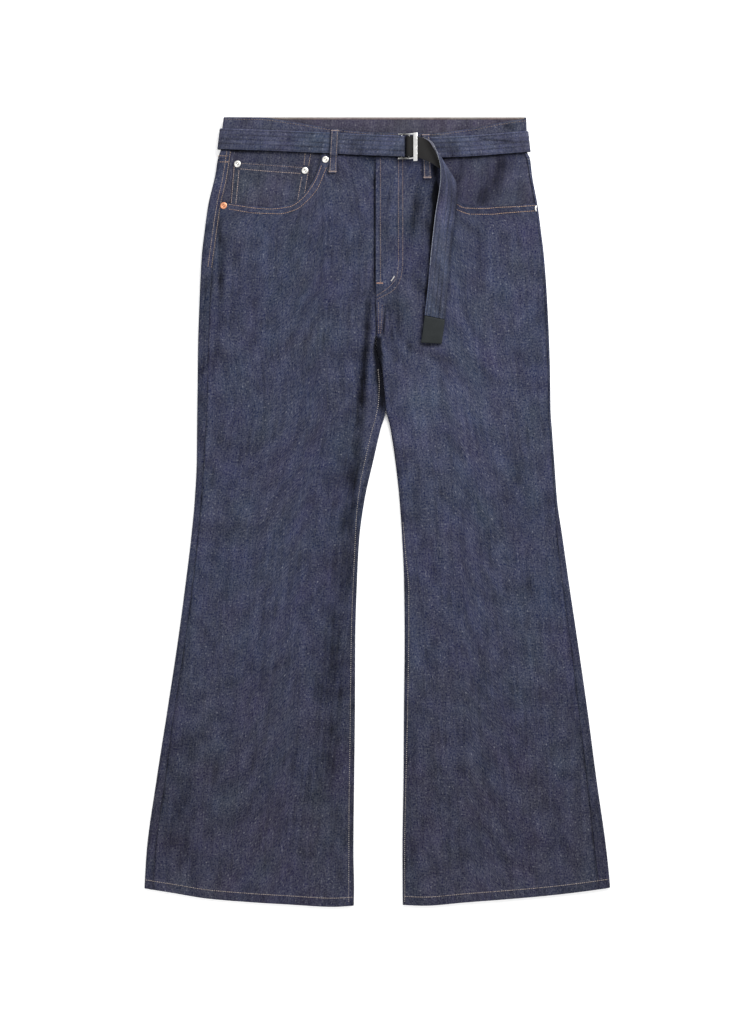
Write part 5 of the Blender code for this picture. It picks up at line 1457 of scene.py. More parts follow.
# %% Tail and tip of the belt
TAIL = table("ax ay az bx by bz", [
    (52, 520, 18.35, 52, 491.6, 18.35), (56.5, 518.7, 18.3, 57, 489.9, 18.3),
    (59, 518.4, 18.1, 65.5, 486.8, 18), (61.3, 517.9, 18, 74.5, 482.8, 17.6),
    (64, 517.1, 18.2, 84, 476.5, 17.1), (66.6, 516.1, 19, 93.1, 470.3, 16.9),
    (69.6, 514.7, 20.5, 100.8, 464.7, 17.4), (73, 512, 22.3, 106, 459.9, 18.8),
    (76.2, 507.4, 23.8, 108.5, 454.3, 20.4), (79.4, 501.1, 24.6, 109.5, 448.1, 21.4),
    (82.6, 493.8, 24.6, 109.9, 442.5, 21.2), (85.5, 485.2, 24, 110, 436.3, 20),
    (87.5, 475.1, 22.6, 109.9, 430, 18.2), (87.7, 463.3, 20, 109.6, 423.8, 16.2),
    (85.2, 442.5, 15.6, 108.5, 413.4, 13.4), (80.8, 416.2, 12, 106.3, 399.6, 11.2),
    (77.2, 387.1, 10.3, 104, 377.4, 10.2), (73.3, 349.7, 9.8, 101, 344.1, 9.7),
    (70, 310.9, 9.3, 97.2, 305.3, 9.3), (65.7, 272.8, 8.1, 93.8, 267.2, 8.1)])
TIP_CORNERS = table("ax ay bx by", [
    (65.4, 272.2, 93.7, 266.6), (63, 252, 91.5, 249), (60.4, 234.7, 89, 233)])
TIP_LEVEL = 7.8


def belt_tail():
    """Grid and tone of the belt past the buckle: round the middle bar, folded over, then hanging down."""
    half_width = BELT_HALF_WIDTH - GAP
    angle = np.linspace(-np.pi / 2, -3 * np.pi / 2, 7)
    x = np.append(MIDDLE_BAR_X + TAIL_START, MIDDLE_BAR_X + BAR_TO_STRAP * np.cos(angle))
    z = BUCKLE_Z + BAR_TO_STRAP * np.sin(np.append(angle[0], angle))
    upper = np.full(x.shape, BUCKLE_Y + half_width)
    under = np.full(x.shape, BUCKLE_Y - half_width)
    wrap = np.stack((x, upper, z, x, under, z), axis=1)
    rows = np.concatenate((wrap, np.stack(list(TAIL.values()), axis=1)))
    number = np.arange(len(rows), dtype=float)
    fine = np.stack([smooth(np.arange(0.0, number[-1] + 0.01, 0.2), number, rows[:, column])
                     for column in range(6)], axis=1)
    share = np.linspace(0.0, 1.0, 27)[None, :, None]
    grid = blend(fine[:, None, :3], fine[:, None, 3:], share)
    across = share[..., 0] + 0.0 * grid[..., 0]
    # painted highlight: a pale streak down the hanging tail, where its fold catches the light
    tail_streak_highlight = 0.22 * np.exp(-((across - 0.4) / 0.14) ** 2) * ease(grid[..., 1], 350.0, 430.0)
    # painted highlight along the tail's upper cut edge, and painted shade along its lower edge
    edges = 0.5 * ease(-across, -0.05, -0.02) - 0.5 * ease(across, 0.93, 1.0)
    return grid, belt_grooves(across, grid[..., 1]) + edges + tail_streak_highlight


def belt_tip():
    """Grid of the dark end of the belt."""
    share = np.linspace(0.0, 1.0, 10)[None, :]
    down = np.linspace(0.0, 2.0, 13)
    ax, ay, bx, by = (smooth(down, np.arange(3.0), column)[:, None] for column in TIP_CORNERS.values())
    x = blend(ax, bx, share)
    return np.stack((x, blend(ay, by, share), np.full(x.shape, TIP_LEVEL)), axis=-1)


tail_grid, tail_tone = belt_tail()
cloth("belt_tail_cloth", tail_grid, BELT, [belt_denim, backing, edge_denim], "belt_denim", "belt_tail",
      "front_left_cloth", tail_tone)
cloth("belt_tip_end", belt_tip(), TIP, [tip_coat, tip_coat], "dark_backing", "belt_tip", "front_left_cloth")


# %% [markdown]
# ## Belt loops
#
# A belt loop is a narrow folded strip sewn down at both ends, with the belt under it. It is a path
# in Y and Z with a slightly crowned profile, because a strip folded in three is thicker in its
# middle.

# %% Belt loops
LOOP_PAST_BELT = 0.7                # a loop lies on the belt as far as this past its edge
LOOP_BEND = 2.6                     # it is down on the waistband this far above the belt
LOOP_DROP = 4.2                     # and down on the front this far below it
BACK_LOOP_TOP = (6.5, 3.0)          # a back loop's places above the belt, on the waistband
BACK_LOOP_DROP = 7.0                # and below it, where it bends up
BACK_LOOP_BEND_Z = 2.6
BACK_LOOP_END_Y = (486.0, 480.0, 476.0)
LOOP_CROWN = 0.25                   # a loop is this much higher along its middle


def strip(y, z, top_x, bottom_x):
    """A narrow strip down Y through the given heights, with soft bends."""
    knots = travelled(np.stack((y, z), axis=1))
    at = np.linspace(0.0, knots[-1], 40)
    fine_y = smooth(at, knots, y)
    fine_z = smooth(at, knots, z)
    middle = top_x + (bottom_x - top_x) * (fine_y - y[0]) / (y[-1] - y[0])
    across = np.linspace(-1.0, 1.0, 9)
    x = middle[:, None] + across * LOOP_HALF_WIDTH
    crown = LOOP_CROWN * (1.0 - across ** 4)
    return np.stack((x, fine_y[:, None] + 0.0 * x, fine_z[:, None] + crown), axis=-1)


def front_loop(top_x, bottom_x, top_y, bottom_y):
    """Grid of a belt loop on the front, from the waistband over the belt to the front panel."""
    belt_y = waist("belt", (top_x + bottom_x) / 2)
    over_belt = belt_high + (BELT + LOOP) / 2 + GAP
    on_band = belt_high - BELT / 2 - GAP + LOOP / 2 + GAP
    upper = belt_y + BELT_HALF_WIDTH
    lower = belt_y - BELT_HALF_WIDTH
    raise_panel = (CLOTH + LOOP) / 2 + GAP + EASE / 2
    below = np.linspace(lower - LOOP_DROP, bottom_y, 3)
    over = [upper + LOOP_PAST_BELT, belt_y, lower - LOOP_PAST_BELT]
    y = np.concatenate(([top_y, upper + LOOP_BEND], over, below))
    over_front = level("front", below) + raise_panel
    z = np.concatenate(([on_band, on_band, over_belt, over_belt, over_belt], over_front))
    return strip(y, z, top_x, bottom_x)


def back_loop(x):
    """Grid of a belt loop underneath, from the waistband under the belt to the yoke."""
    belt_y = waist("belt_back", x)
    past_belt = belt_low - (BELT + LOOP) / 2 - GAP
    on_band = band_low - BAND / 2 - GAP - LOOP / 2
    upper = belt_y + BELT_HALF_WIDTH
    lower = belt_y - BELT_HALF_WIDTH
    below = np.array(BACK_LOOP_END_Y)
    above = [upper + distance for distance in BACK_LOOP_TOP]
    under = [upper + LOOP_PAST_BELT, belt_y, lower - LOOP_PAST_BELT, lower - BACK_LOOP_DROP]
    y = np.concatenate((above, under, below))
    on_yoke = level("back", below) - (CLOTH + LOOP) / 2 - GAP
    z = np.concatenate(([on_band, on_band, past_belt, past_belt, past_belt, BACK_LOOP_BEND_Z], on_yoke))
    return strip(y, z, x, x)[:, ::-1]


LOOPS = {"front_right": front_loop(-58.6, -62.1, 530.0, 469.6),
         "front_left": front_loop(66.9, 69.6, 523.6, 461.4),
         "back_right": back_loop(-116.0), "back_centre": back_loop(CENTRE_X), "back_left": back_loop(112.0)}
for name, grid in LOOPS.items():
    cloth("belt_loop_%s_cloth" % name, grid, LOOP, [band_denim, inside_denim], "denim",
          "belt_loop_" + name, "belt_strap_cloth")


# %% [markdown]
# ## Buckle, rivets and button
#
# The buckle is one casting: two round bars, two short rods and a wide flat bar that lies over the
# folded belt. A bar is an outline swept along a line, drawn in at both ends so that it looks
# rounded. Rivets and the button are a profile turned about an upright axis.

# %% Bars of the buckle
END_DRAWN = 0.04                    # a bar's end face is this share of its size


def ring_faces(rings, sides, start):
    """Faces between neighbouring rings of points, and the two that close the ends."""
    ring = np.arange(rings - 1)[:, None] * sides + start
    side = np.arange(sides)[None, :]
    after = (side + 1) % sides
    faces = np.stack((ring + side, ring + sides + side, ring + sides + after, ring + after), axis=-1)
    ends = [list(range(start, start + sides)),
            list(range(start + rings * sides - 1, start + (rings - 1) * sides - 1, -1))]
    return faces.reshape(-1, 4).tolist() + ends


def swept(start, end, outline, rounding):
    """Points of an outline moved along a straight line; its ends are drawn in over the rounding."""
    start, end = np.array(start, dtype=float), np.array(end, dtype=float)
    length = np.linalg.norm(end - start)
    way = (end - start) / length
    up = np.cross(np.cross(way, [0.0, 0.0, 1.0]), way)
    up = up / np.linalg.norm(up)
    beside = np.cross(way, up)
    angle = np.linspace(0.0, np.pi / 2, 6)[:-1]
    ends = np.sin(angle) * (1.0 - END_DRAWN) + END_DRAWN
    middle = np.linspace(rounding, length - rounding, 8)
    drawn = np.concatenate((ends, np.ones(len(middle)), ends[::-1]))
    at = np.concatenate((rounding * (1 - np.cos(angle)), middle,
                         (length - rounding * (1 - np.cos(angle)))[::-1]))
    centre = start + at[:, None] * way
    across = outline[:, 0:1] * beside + outline[:, 1:2] * up
    return centre[:, None] + drawn[:, None, None] * across[None]


def rounded_outline(width, height, power, sides):
    """A rounded rectangle, or a circle when the power is 2."""
    angle = np.linspace(0.0, 2.0 * np.pi, sides, endpoint=False)
    cosine, sine = np.cos(angle), np.sin(angle)
    size = (np.abs(cosine) ** power + np.abs(sine) ** power) ** (-1.0 / power)
    return np.stack((-cosine * size * width / 2, sine * size * height / 2), axis=1)


FLAT_BAR_X = (49.7, 55.5)
FLAT_BAR_Z = (20.0, 22.0)
FLAT_BAR_REACH = 19.8
FLAT_BAR_DOWN = 1.4                 # it leans a little towards the hems
ROD_REACH = 16.6                    # from the buckle's middle to its upper and lower rod
BAR_RADIUS = 1.1
UPPER_ROD = 1.3                     # radius of each rod
LOWER_ROD = 1.5
ROD_PAST_BAR = 1.6                  # the rods end this far beyond the middle bar
ARM_X = (0.2, 2.2)                  # arms lean up from this far past it to this far in the flat bar
ARM_SIZE = 0.9                      # a little thinner than the rod
BAR_ROUNDING = 0.9
ROD_ROUNDING = 1.0


def buckle_rods():
    """The buckle's parts: ends, and the outline of each."""
    bar_z = sum(FLAT_BAR_Z) / 2
    bar_x = sum(FLAT_BAR_X) / 2
    flat = rounded_outline(FLAT_BAR_X[1] - FLAT_BAR_X[0], FLAT_BAR_Z[1] - FLAT_BAR_Z[0], 5.0, 28)
    bar_y = BUCKLE_Y - FLAT_BAR_DOWN
    parts = [((bar_x, bar_y - FLAT_BAR_REACH, bar_z), (bar_x, bar_y + FLAT_BAR_REACH, bar_z), flat,
              BAR_ROUNDING)]
    for x in (LEFT_BAR_X, MIDDLE_BAR_X):
        parts.append(((x, BUCKLE_Y - ROD_REACH, BUCKLE_Z), (x, BUCKLE_Y + ROD_REACH, BUCKLE_Z),
                      rounded_outline(2 * BAR_RADIUS, 2 * BAR_RADIUS, 2.0, 18), BAR_ROUNDING))
    for y, radius in ((BUCKLE_Y + ROD_REACH, UPPER_ROD), (BUCKLE_Y - ROD_REACH, LOWER_ROD)):
        rod = rounded_outline(2 * radius, 2 * radius, 2.4, 18)
        parts.append(((ROD_START_X, y, BUCKLE_Z), (MIDDLE_BAR_X + ROD_PAST_BAR, y, BUCKLE_Z), rod,
                      ROD_ROUNDING))
        parts.append(((MIDDLE_BAR_X + ARM_X[0], y, BUCKLE_Z), (FLAT_BAR_X[0] + ARM_X[1], y, bar_z),
                      ARM_SIZE * rod, ROD_ROUNDING))
    return parts


def metal_piece(name, parts, material, node, shades):
    """Rings of points as one mesh, with a shade for each ring of each part."""
    points, faces, tones = [], [], []
    total = 0
    for rings, shade in zip(parts, shades):
        faces += ring_faces(*rings.shape[:2], total)
        tones.append(np.repeat(shade, rings.shape[1]))
        points.append(rings.reshape(-1, 3))
        total += rings.shape[0] * rings.shape[1]
    points = np.concatenate(points)
    mesh = fill_mesh(name, points, faces, points[:, :2] * MM, "tone", np.concatenate(tones))
    show(name, mesh, [material], [node])
    print("%-28s %5d points" % (name, total))


rods = [swept(*part) for part in buckle_rods()]
# painted shade: the middles of the round bars and the rods are coloured darker, as they lie under the strap
# or in its shade
SHADED_PARTS = (1, 2, 3, 5)           # the round bars and the rods lie under the strap or in its shade
shaded_middle = -0.85 * np.sin(np.linspace(0.0, np.pi, len(rods[0]))) ** 2
metal_piece("belt_buckle_metal", rods, buckle_metal, "belt_buckle",
            [shaded_middle * (part in SHADED_PARTS) for part in range(len(rods))])


# %% Rivets and button
def turned(profile, centre, slope, sides=28):
    """Rings of a profile (radius, height) about an upright axis, turned to lie on sloping cloth."""
    profile = np.array(profile)
    angle = np.linspace(0.0, 2.0 * np.pi, sides, endpoint=False)
    x = profile[:, :1] * np.cos(angle)
    y = profile[:, :1] * np.sin(angle)
    z = profile[:, 1:] + 0.0 * x
    lean_x, lean_y = np.arctan(slope[0]), np.arctan(slope[1])
    x, z = x * np.cos(lean_x) - z * np.sin(lean_x), z * np.cos(lean_x) + x * np.sin(lean_x)
    y, z = y * np.cos(lean_y) - z * np.sin(lean_y), z * np.cos(lean_y) + y * np.sin(lean_y)
    return np.stack((x + centre[0], y + centre[1], z + centre[2]), axis=-1)


RIVETS = {"rivet_coin_outer": (-193.9, 482.4, "coin"), "rivet_coin_inner": (-100.3, 473.3, "coin"),
          "rivet_right_inner": (-71.8, 488.3, "front"), "rivet_right_outer": (-213.0, 424.6, "front"),
          "rivet_left_outer": (217.8, 420.6, "front"), "rivet_left_inner": (83.6, 483.5, "front")}
RIVET_PROFILE = [(4.7, 0.0), (4.75, 0.35), (4.6, 0.75), (4.2, 1.05), (3.6, 1.18), (2.6, 1.24), (1.9, 1.2),
                 (1.6, 0.9), (1.35, 0.62), (1.1, 0.66), (0.8, 0.95), (0.4, 1.06), (0.05, 1.08)]
RIVET_SHADE = np.array([-0.5, -0.45, -0.2, 0.0, 0.0, 0.0, -0.15, -0.55, -0.7, -0.6, -0.2, 0.0, 0.0])
BUTTON_PROFILE = [(7.6, 0.0), (8.0, 0.5), (8.0, 1.1), (7.6, 1.7), (6.9, 2.0), (6.3, 1.9), (5.9, 1.5),
                  (5.5, 1.35), (4.0, 1.45), (2.0, 1.6), (0.1, 1.65)]
BUTTON_PLACE = (7.0, 505.5)
EDGE_RIVET_X = 220.3                # the left outer rivet has turned over the edge
EDGE_RIVET_DROP = 1.6
EDGE_RIVET_SLOPE = -1.7
RIVET_LIFT = 0.35                   # rivets lie this much above the level cloth
RIVET_REACH = 4.0                   # the cloth's slope is measured this far from the middle


def rivet_seat(kind, x, y):
    """Top of the cloth under a rivet, and its slope."""
    side = "r" if x < CENTRE_X else "l"
    depth = LAP if kind == "coin" else 0.0
    around = plain_front(side, x + RIVET_REACH * np.array([1, -1, 0, 0]),
                         y + RIVET_REACH * np.array([0, 0, 1, -1]))
    tilt = ((around[0] - around[1]) / (2 * RIVET_REACH), (around[2] - around[3]) / (2 * RIVET_REACH))
    return float(around.mean()) - depth + CLOTH / 2 + RIVET_LIFT, tilt


for name, (x, y, kind) in RIVETS.items():
    z, tilt = rivet_seat(kind, x, y)
    if name == "rivet_left_outer":
        x, z, tilt = EDGE_RIVET_X, z - EDGE_RIVET_DROP, (EDGE_RIVET_SLOPE, 0.0)
    copper = name == "rivet_right_outer"
    metal_piece(name + "_metal", [turned(RIVET_PROFILE, (x, y, z), tilt)[:, ::-1]],
                copper_metal if copper else silver_metal, name,
                [RIVET_SHADE])
button_z = band_high + 1.5 * BAND + 2 * GAP
metal_piece("waist_button_metal", [turned(BUTTON_PROFILE, (*BUTTON_PLACE, button_z), (0.0, 0.0))[:, ::-1]],
            copper_metal, "waist_button", [np.zeros(len(BUTTON_PROFILE))])


# %% [markdown]
# ## Sewing
#
# Topstitching is a row of short thread loops that dip into the cloth at both ends. One small capsule
# of five sides is enough for each, because there are thousands. A line of sewing is a list of places
# with the way out of the cloth at each, and the capsules are laid along it all at once. Each stitch
# has its own tint, so that a row looks sewn and not printed.

# %% Stitch builder
RINGS = np.array([-1.0, -0.55, 0.55, 1.0])    # a stitch's rings, as shares of half its length
DRAWN = np.array([0.35, 1.0, 1.0, 0.35])      # their widths
DIP = np.array([-0.3, 0.0, 0.0, -0.3])        # and how far they dip into the cloth
STITCH_SIDES = 5
STITCH_SHIFT = 0.06                 # how unevenly the stitches lie along a line, as a share of the pitch
STITCH_LENGTHS = (0.94, 1.06)       # shares of the length and width that a row asks for
STITCH_WIDTHS = (0.9, 1.1)
STITCH_TINT = 0.14                  # spread of the stitches' tints
THREAD_LIFT = 0.12                  # a thread's middle lies this far out of the cloth
LINE_STEP = 1.5                     # between the points of a line of sewing
THREAD_FINE = 0.6                   # width of the finer thread


def places_at(distances, at, points):
    """Places at the given distances along a line, straight from each of its points to the next."""
    return np.stack([np.interp(distances, at, points[:, axis]) for axis in range(3)], axis=1)


def stitch_row(line, way_out, pitch, length, width):
    """Points, UV and tint of a row of stitches along a line; pitch 0 makes one stitch of the whole line."""
    at = travelled(line)
    if pitch == 0.0:
        middles = np.array([at[-1] / 2])
        length = at[-1]
    else:
        count = max(1, int(round(at[-1] / pitch)))
        middles = at[-1] / count * (np.arange(count) + 0.5)
        middles = middles + random.uniform(-STITCH_SHIFT, STITCH_SHIFT, len(middles)) * pitch
    half = 0.5 * length * random.uniform(*STITCH_LENGTHS, len(middles))
    first = places_at(middles - half, at, line)
    last = places_at(middles + half, at, line)
    up = places_at(middles, at, way_out)
    way = last - first
    size = np.linalg.norm(way, axis=1, keepdims=True)
    way = way / size
    beside = np.cross(way, up)
    beside /= np.linalg.norm(beside, axis=1, keepdims=True)
    up = np.cross(beside, way)
    centre = (first + last) / 2
    angle = np.linspace(0.0, 2.0 * np.pi, STITCH_SIDES, endpoint=False) + np.pi / 2
    thick = width * random.uniform(*STITCH_WIDTHS, len(middles))[:, None, None, None]
    ring = RINGS[None, :, None, None]
    drawn = DRAWN[None, :, None, None] * thick / 2
    points = (centre[:, None, None] + ring * (size / 2)[:, None, None] * way[:, None, None]
              + drawn * np.cos(angle)[None, None, :, None] * beside[:, None, None]
              + (0.8 * drawn * np.sin(angle)[None, None, :, None] + DIP[None, :, None, None] * width)
              * up[:, None, None])
    uv = np.stack(np.broadcast_arrays(RINGS[None, :, None], angle[None, None, :] / (2 * np.pi),
                                      np.zeros((len(middles), 1, 1)))[:2], axis=-1)
    tint = random.normal(1.0, STITCH_TINT, len(middles))
    return points.reshape(-1, 3), uv.reshape(-1, 2), np.repeat(tint, len(RINGS) * STITCH_SIDES)


def sew(name, on, material, rows, pitch=3.0, length=2.5, width=0.75):
    """One piece of sewing from several lines, which goes with the sheet that it is sewn to."""
    points, uv, tint = (np.concatenate(part) for part in
                        zip(*[stitch_row(line, up, pitch, length, width) for line, up in rows]))
    count = len(points) // (len(RINGS) * STITCH_SIDES)
    one = ring_faces(len(RINGS), STITCH_SIDES, 0)
    step = (np.arange(count) * len(RINGS) * STITCH_SIDES)[:, None, None]
    quads = (np.array(one[:-2])[None] + step).reshape(-1, 4).tolist()
    ends = (np.array(one[-2:])[None] + step).reshape(-1, STITCH_SIDES).tolist()
    mesh = fill_mesh(name, points, quads + ends, uv, "tint", tint)
    piece = show(name, mesh, [material])
    sheets[on]["sewing"].append(piece)
    print("%-28s %5d stitches" % (name, count))


print("points in one stitch:", len(RINGS) * STITCH_SIDES)


# %% Lines drawn on the cloth
def on_front(side, places):
    """A line drawn on the front, lifted to the cloth's surface, with the way out along it."""
    x, y = finer(places, LINE_STEP).T
    z = front_height(side, x, y)[0]
    slope_x = (front_height(side, x + 0.4, y)[0] - front_height(side, x - 0.4, y)[0]) / 0.8
    slope_y = (front_height(side, x, y + 0.4)[0] - front_height(side, x, y - 0.4)[0]) / 0.8
    up = np.stack((-slope_x, -slope_y, np.ones(len(x))), axis=1)
    up /= np.linalg.norm(up, axis=1, keepdims=True)
    return np.stack((x, y, z), axis=1) + up * (CLOTH / 2 + THREAD_LIFT), up


def on_back(side, places):
    """A line drawn on the underside of the back, pressed into it, because the jeans lie on it."""
    x, y = finer(places, LINE_STEP).T
    z = back_height(side, x, y)[0] - CLOTH / 2 + THREAD_LIFT
    return np.stack((x, y, z), axis=1), np.repeat([[0.0, 0.0, -1.0]], len(x), axis=0)


def on_sheet(name, row=None, column=None, span=(0.0, 1.0), lift=THREAD_LIFT):
    """A line along one row or column of a sheet, at a share of its size, on its outside."""
    grid, thick = sheets[name]["grid"], sheets[name]["thick"]
    up = outward(grid)
    if column is not None:
        grid, up, row = grid.transpose(1, 0, 2), up.transpose(1, 0, 2), column
    at = row * (len(grid) - 1)
    low = min(int(at), len(grid) - 2)
    share = at - low
    line = blend(grid[low], grid[low + 1], share)
    out = blend(up[low], up[low + 1], share)
    line = line + out * (thick / 2 + lift)
    start, stop = (int(round(value * (len(line) - 1))) for value in span)
    return line[start:stop + 1], out[start:stop + 1]


def in_pocket(places, on_facing=False, lift=THREAD_LIFT):
    """A line drawn on the coin pocket or on the right facing, with the way out of the cloth."""
    x, y = finer(places, LINE_STEP).T
    depth = facing_depth("r", x, y) if on_facing else LAP
    z = plain_front("r", x, y) - depth + CLOTH / 2 + lift
    return np.stack((x, y, z), axis=1), np.repeat([[0.0, 0.0, 1.0]], len(x), axis=0)


def beside_line(places, distance):
    """A line moved sideways, to its left where the distance is positive."""
    line = finer(places, 2.0)
    way = np.gradient(line, axis=0)
    way /= np.linalg.norm(way, axis=1, keepdims=True)
    return line + distance * np.stack((-way[:, 1], way[:, 0]), axis=1)


print("the front's surface at the knee:", on_front("r", [(-150.0, 0.0), (-148.0, 0.0)])[0][0].round(2))


# %% Sewing lines on the fronts
POCKET_ROWS = {
    "r": ([(-206, 426.2), (-150.2, 419.8), (-121.7, 423), (-102.6, 435.8), (-86.6, 458.1), (-77.1, 480.2)],
          [(-206, 419.8), (-166.2, 414.3), (-137.5, 413.4), (-115.3, 418.3), (-99.4, 429.4), (-83.4, 448.5),
           (-70.7, 477.2)]),
    "l": ([(219.1, 424.9), (195, 423.2), (170, 422.2), (147.6, 420.5), (122.2, 421.2), (111.7, 425.5),
           (103, 436), (97, 450), (94, 464)],
          [(218, 417.6), (197.4, 415.9), (175.2, 414.2), (153, 412.7), (131, 412.7), (114.5, 417.2),
           (101, 426), (94, 440), (92, 452)])}
FLY_ROWS = [[(29.4, 492.4), (29.4, 346.9), (28, 332), (23.7, 320.6), (13, 309), (-1.1, 299.9)],
            [(35.2, 492.4), (35.2, 345.5), (32.6, 325.3), (22.2, 307.8), (-1.1, 294.6)],
            [(4.2, 490), (4.2, 318)]]
RISE_ROWS = [[(1.5, 291), (1.9, 270), (1.8, 247)], [(6.6, 288), (6, 268), (4.3, 247)]]
INSEAMS = {
    "r": [(0.8, 198.1), (2.5, 176.2), (1.7, 154.4), (-2.5, 130.8), (-8.5, 109.1), (-15.1, 80.5),
          (-24.4, 33.7), (-29.2, -9.3), (-31.6, -59.2), (-36.2, -172.8), (-37.9, -307.3), (-39.6, -441.7),
          (-39.8, -541)],
    "l": [(35.6, -14), (39.4, -60.6), (43.7, -107.7), (43.7, -156.2), (42, -274), (39.6, -373.8),
          (37.8, -475), (38, -541)]}
SIDE_SEAM = [(-203.5, 499.4), (-209.7, 460.6), (-215.9, 432.8), (-220.4, 407.9), (-225, 375),
             (-227.7, 355.2), (-229.9, 338.6)]
SIDE_ROWS_APART = 5.0
YOKE_WRAP = [[(-221.5, 493.4), (-206.2, 493.4)], [(-221.5, 485), (-206.2, 485)]]
COIN_LINES = [[(-190, 475.6), (-150, 472.2), (-105.8, 469.2)], [(-198.1, 481.9), (-203.6, 416)],
              [(-191.7, 474), (-197.2, 416)], [(-95.4, 473.9), (-105, 418)], [(-104.9, 464.7), (-113, 418)]]
COIN_TOP = [(-194, 483.6), (-97, 476.8)]
FACING_LINES = [[(-100.2, 497), (-101.7, 480.5)], [(-92.2, 497), (-95.4, 479.5)]]


def hem_line(side):
    """The hem's stitching across a leg."""
    share = np.linspace(0.006, 0.994, 60)
    low = HEM_START_Y - 30.0
    outer = outer_middle(side, low)
    x = outer + (inner_end_x(side, low) - outer) * share
    return np.stack((x, hem_y(side, share) + HEM_SEWING), axis=1)


for side, name in SIDES:
    front = "front_%s_cloth" % name
    sew("hem_sewing_" + name, front, threads["hem"], [on_front(side, hem_line(side))])
    sew("inseam_sewing_" + name, front, threads["inseam"], [on_front(side, INSEAMS[side])],
        pitch=2.8, length=1.5, width=1.15)
    mouth_colour = threads["mouth"] if side == "r" else threads["pocket"]
    sew("mouth_sewing_" + name, front, mouth_colour, [on_front(side, line) for line in POCKET_ROWS[side]])
sew("fly_sewing", "front_left_cloth", threads["fly"], [on_front("l", line) for line in FLY_ROWS])
sew("rise_sewing", "front_left_cloth", threads["fly"], [on_front("l", line) for line in RISE_ROWS],
    length=2.0)
sew("side_sewing_right", "back_right_cloth", threads["loop"],
    [on_front("r", SIDE_SEAM), on_front("r", beside_line(SIDE_SEAM, -SIDE_ROWS_APART))])
sew("yoke_wrap_sewing", "yoke_right_cloth", threads["pocket"], [on_front("r", line) for line in YOKE_WRAP])
sew("coin_pocket_sewing", "coin_pocket_cloth", threads["coin"], [in_pocket(line) for line in COIN_LINES])
sew("facing_sewing", "pocket_facing_right_cloth", threads["loop"],
    [in_pocket(line, on_facing=True, lift=0.15) for line in FACING_LINES])
sew("coin_pocket_edge_sewing", "coin_pocket_cloth", threads["fly"], [in_pocket(COIN_TOP)])

# %% Sewing lines on the waistband, belt, loops and underside
sew("waistband_sewing", "waistband_cloth", threads["band"],
    [on_sheet("waistband_cloth", row=row, span=(0.012, 0.988)) for row in (0.07, 0.93)],
    pitch=3.6, length=2.1)
sew("belt_sewing", "belt_strap_cloth", threads["belt"],
    [on_sheet("belt_strap_cloth", row=row, span=(0.0, 0.95)) for row in BELT_ROWS],
    pitch=3.4, width=THREAD_FINE)
sew("belt_tail_sewing", "belt_tail_cloth", threads["belt"],
    [on_sheet("belt_tail_cloth", column=column, span=(0.3, 1.0)) for column in BELT_ROWS],
    pitch=3.4, width=THREAD_FINE)
sew("belt_tail_edge_sewing", "belt_tail_cloth", threads["edge"],
    [on_sheet("belt_tail_cloth", column=0.012, span=(0.3, 0.93), lift=0.1)],
    pitch=2.4, length=2.2, width=THREAD_FINE)
for name in LOOPS:
    sew("loop_sewing_" + name, "belt_loop_%s_cloth" % name, threads["loop"],
        [on_sheet("belt_loop_%s_cloth" % name, column=column) for column in (0.16, 0.84)], width=THREAD_FINE)


TACK_WIDTH = 1.8
TACK_STEP = 0.5                     # between the stitches of a bartack


def bartack(places_and_ways):
    """Short stitches side by side across a line, which lock the end of a seam or a loop."""
    line, up = places_and_ways
    at = travelled(line)
    middles = np.arange(TACK_STEP / 2, at[-1], TACK_STEP)
    centre = places_at(middles, at, line)
    out = places_at(middles, at, up)
    beside = np.cross((line[-1] - line[0]) / np.linalg.norm(line[-1] - line[0]), out) * TACK_WIDTH / 2
    return [(np.stack((middle - across, middle + across)), np.stack((way, way)))
            for middle, across, way in zip(centre, beside, out)]


for name in LOOPS:
    loop = "belt_loop_%s_cloth" % name
    ends = [bartack(on_sheet(loop, row=row, span=(0.06, 0.94))) for row in (0.035, 0.965)]
    sew("loop_bartacks_" + name, loop, threads["pink"], ends[0] + ends[1], pitch=0.0, width=THREAD_FINE)
sew("fly_bartack_low", "front_left_cloth", threads["orange"],
    bartack(on_front("l", [(-1.2, 317.1), (7.9, 317.1)])), pitch=0.0, width=THREAD_FINE)
sew("fly_bartack_curve", "front_left_cloth", threads["white"],
    bartack(on_front("l", [(23.7, 327.0), (19.0, 319.8)])), pitch=0.0, width=THREAD_FINE)

YOKE_SEWN = np.linspace(0.02, 0.985, 30)       # shares of a back's width
BELOW_YOKE = (3.0, 8.5)                        # two rows of sewing under the yoke's seam
RISE_SEWN_Y = (440.0, 330.0, 245.0)
RISE_FROM_SEAM = 3.2

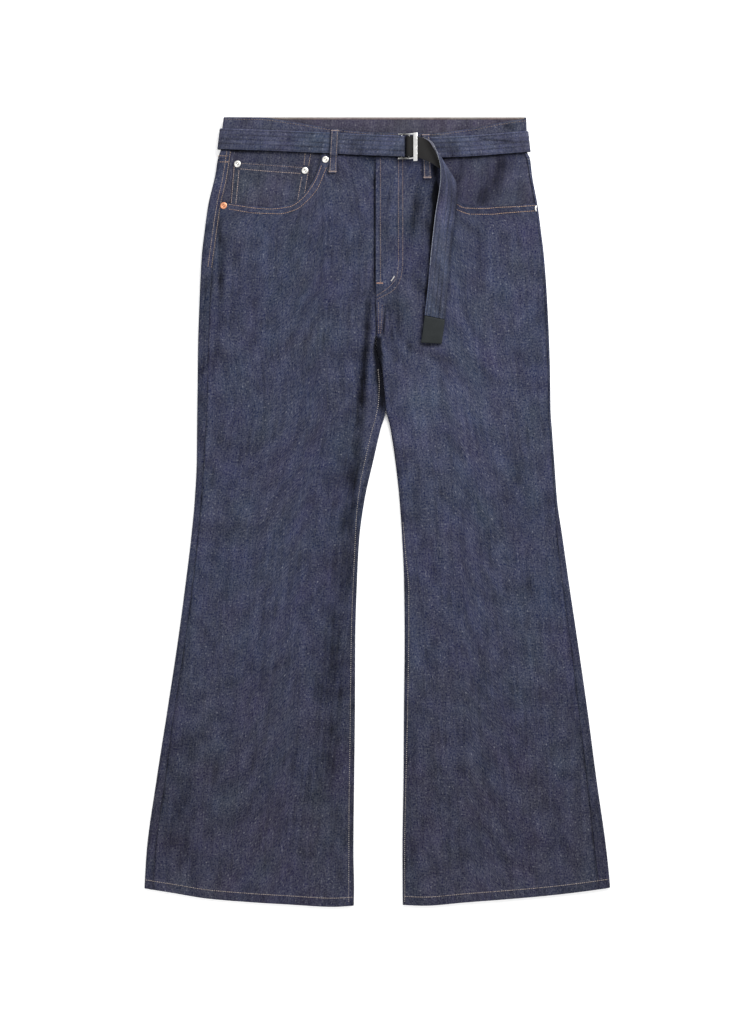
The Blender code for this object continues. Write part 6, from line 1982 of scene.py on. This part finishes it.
for side, name in SIDES:
    centre = inner_end_x(side, 420.0) - inwards(side) * RISE_FROM_SEAM
    outer = outer_middle(side, 480.0)
    seam = np.stack((outer + (inner_end_x(side, 470.0) - outer) * YOKE_SEWN, yoke_y(YOKE_SEWN)), axis=1)
    lines = [seam - [0.0, below] for below in BELOW_YOKE]
    lines += [hem_line(side), [(centre, y) for y in RISE_SEWN_Y]]
    sew("back_sewing_" + name, "back_%s_cloth" % name, threads["hem"],
        [on_back(side, line) for line in lines])
    pocket = "back_pocket_%s_cloth" % name
    sew("back_pocket_sewing_" + name, pocket, threads["pocket"],
        [on_sheet(pocket, row=row, span=(0.02, 0.98), lift=-0.1) for row in (0.08, 0.97)]
        + [on_sheet(pocket, column=column, lift=-0.1) for column in (0.025, 0.07, 0.93, 0.975)])

# %% [markdown]
# ## Edge of the waistband's inside
#
# Behind the front waistband the inside of the back one shows, with a thin coloured binding along its
# top edge.

# %% Edge binding
BINDING = 0.35                      # the tape's wall
BINDING_LIFT = 0.2
BINDING_DROP = np.linspace(0.1, 3.0, 4)        # its rows below the waistband's top edge


def binding_tape_grid():
    """Grid of the tape: the back part of the waistband's top edge, moved down row by row."""
    edge = band_grid[0, band_grid[0, :, 2] < band_low + 0.05]
    grid = edge[None] - BINDING_DROP[:, None, None] * np.array([0.0, 1.0, 0.0])
    grid[..., 2] = band_low + BAND / 2 + BINDING_LIFT
    return grid[:, ::-1]


cloth("waistband_binding", binding_tape_grid(), BINDING, [binding_tape, binding_tape], "denim", "",
      "waistband_cloth")
sew("binding_sewing_grey", "waistband_binding", threads["binding"],
    [on_sheet("waistband_binding", row=0.25)], pitch=1.4, length=1.5, width=0.8)
sew("binding_sewing_red", "waistband_binding", threads["rust"],
    [on_sheet("waistband_binding", row=0.85)], pitch=2.2, length=1.5, width=THREAD_FINE)
binding = sheets.pop("waistband_binding")
sheets["waistband_cloth"]["sewing"] += [binding["piece"]] + binding["sewing"]

# %% [markdown]
# ## The cloth in all
#
# Each sheet keeps its flat size, measured along its own grid before it was bent, and the sewing that
# goes with it. Here the areas of all the sheets are added up.

# %% Sheets and the end
print("cloth in all %.3f square metres" % sum(facts["area"] for facts in sheets.values()))
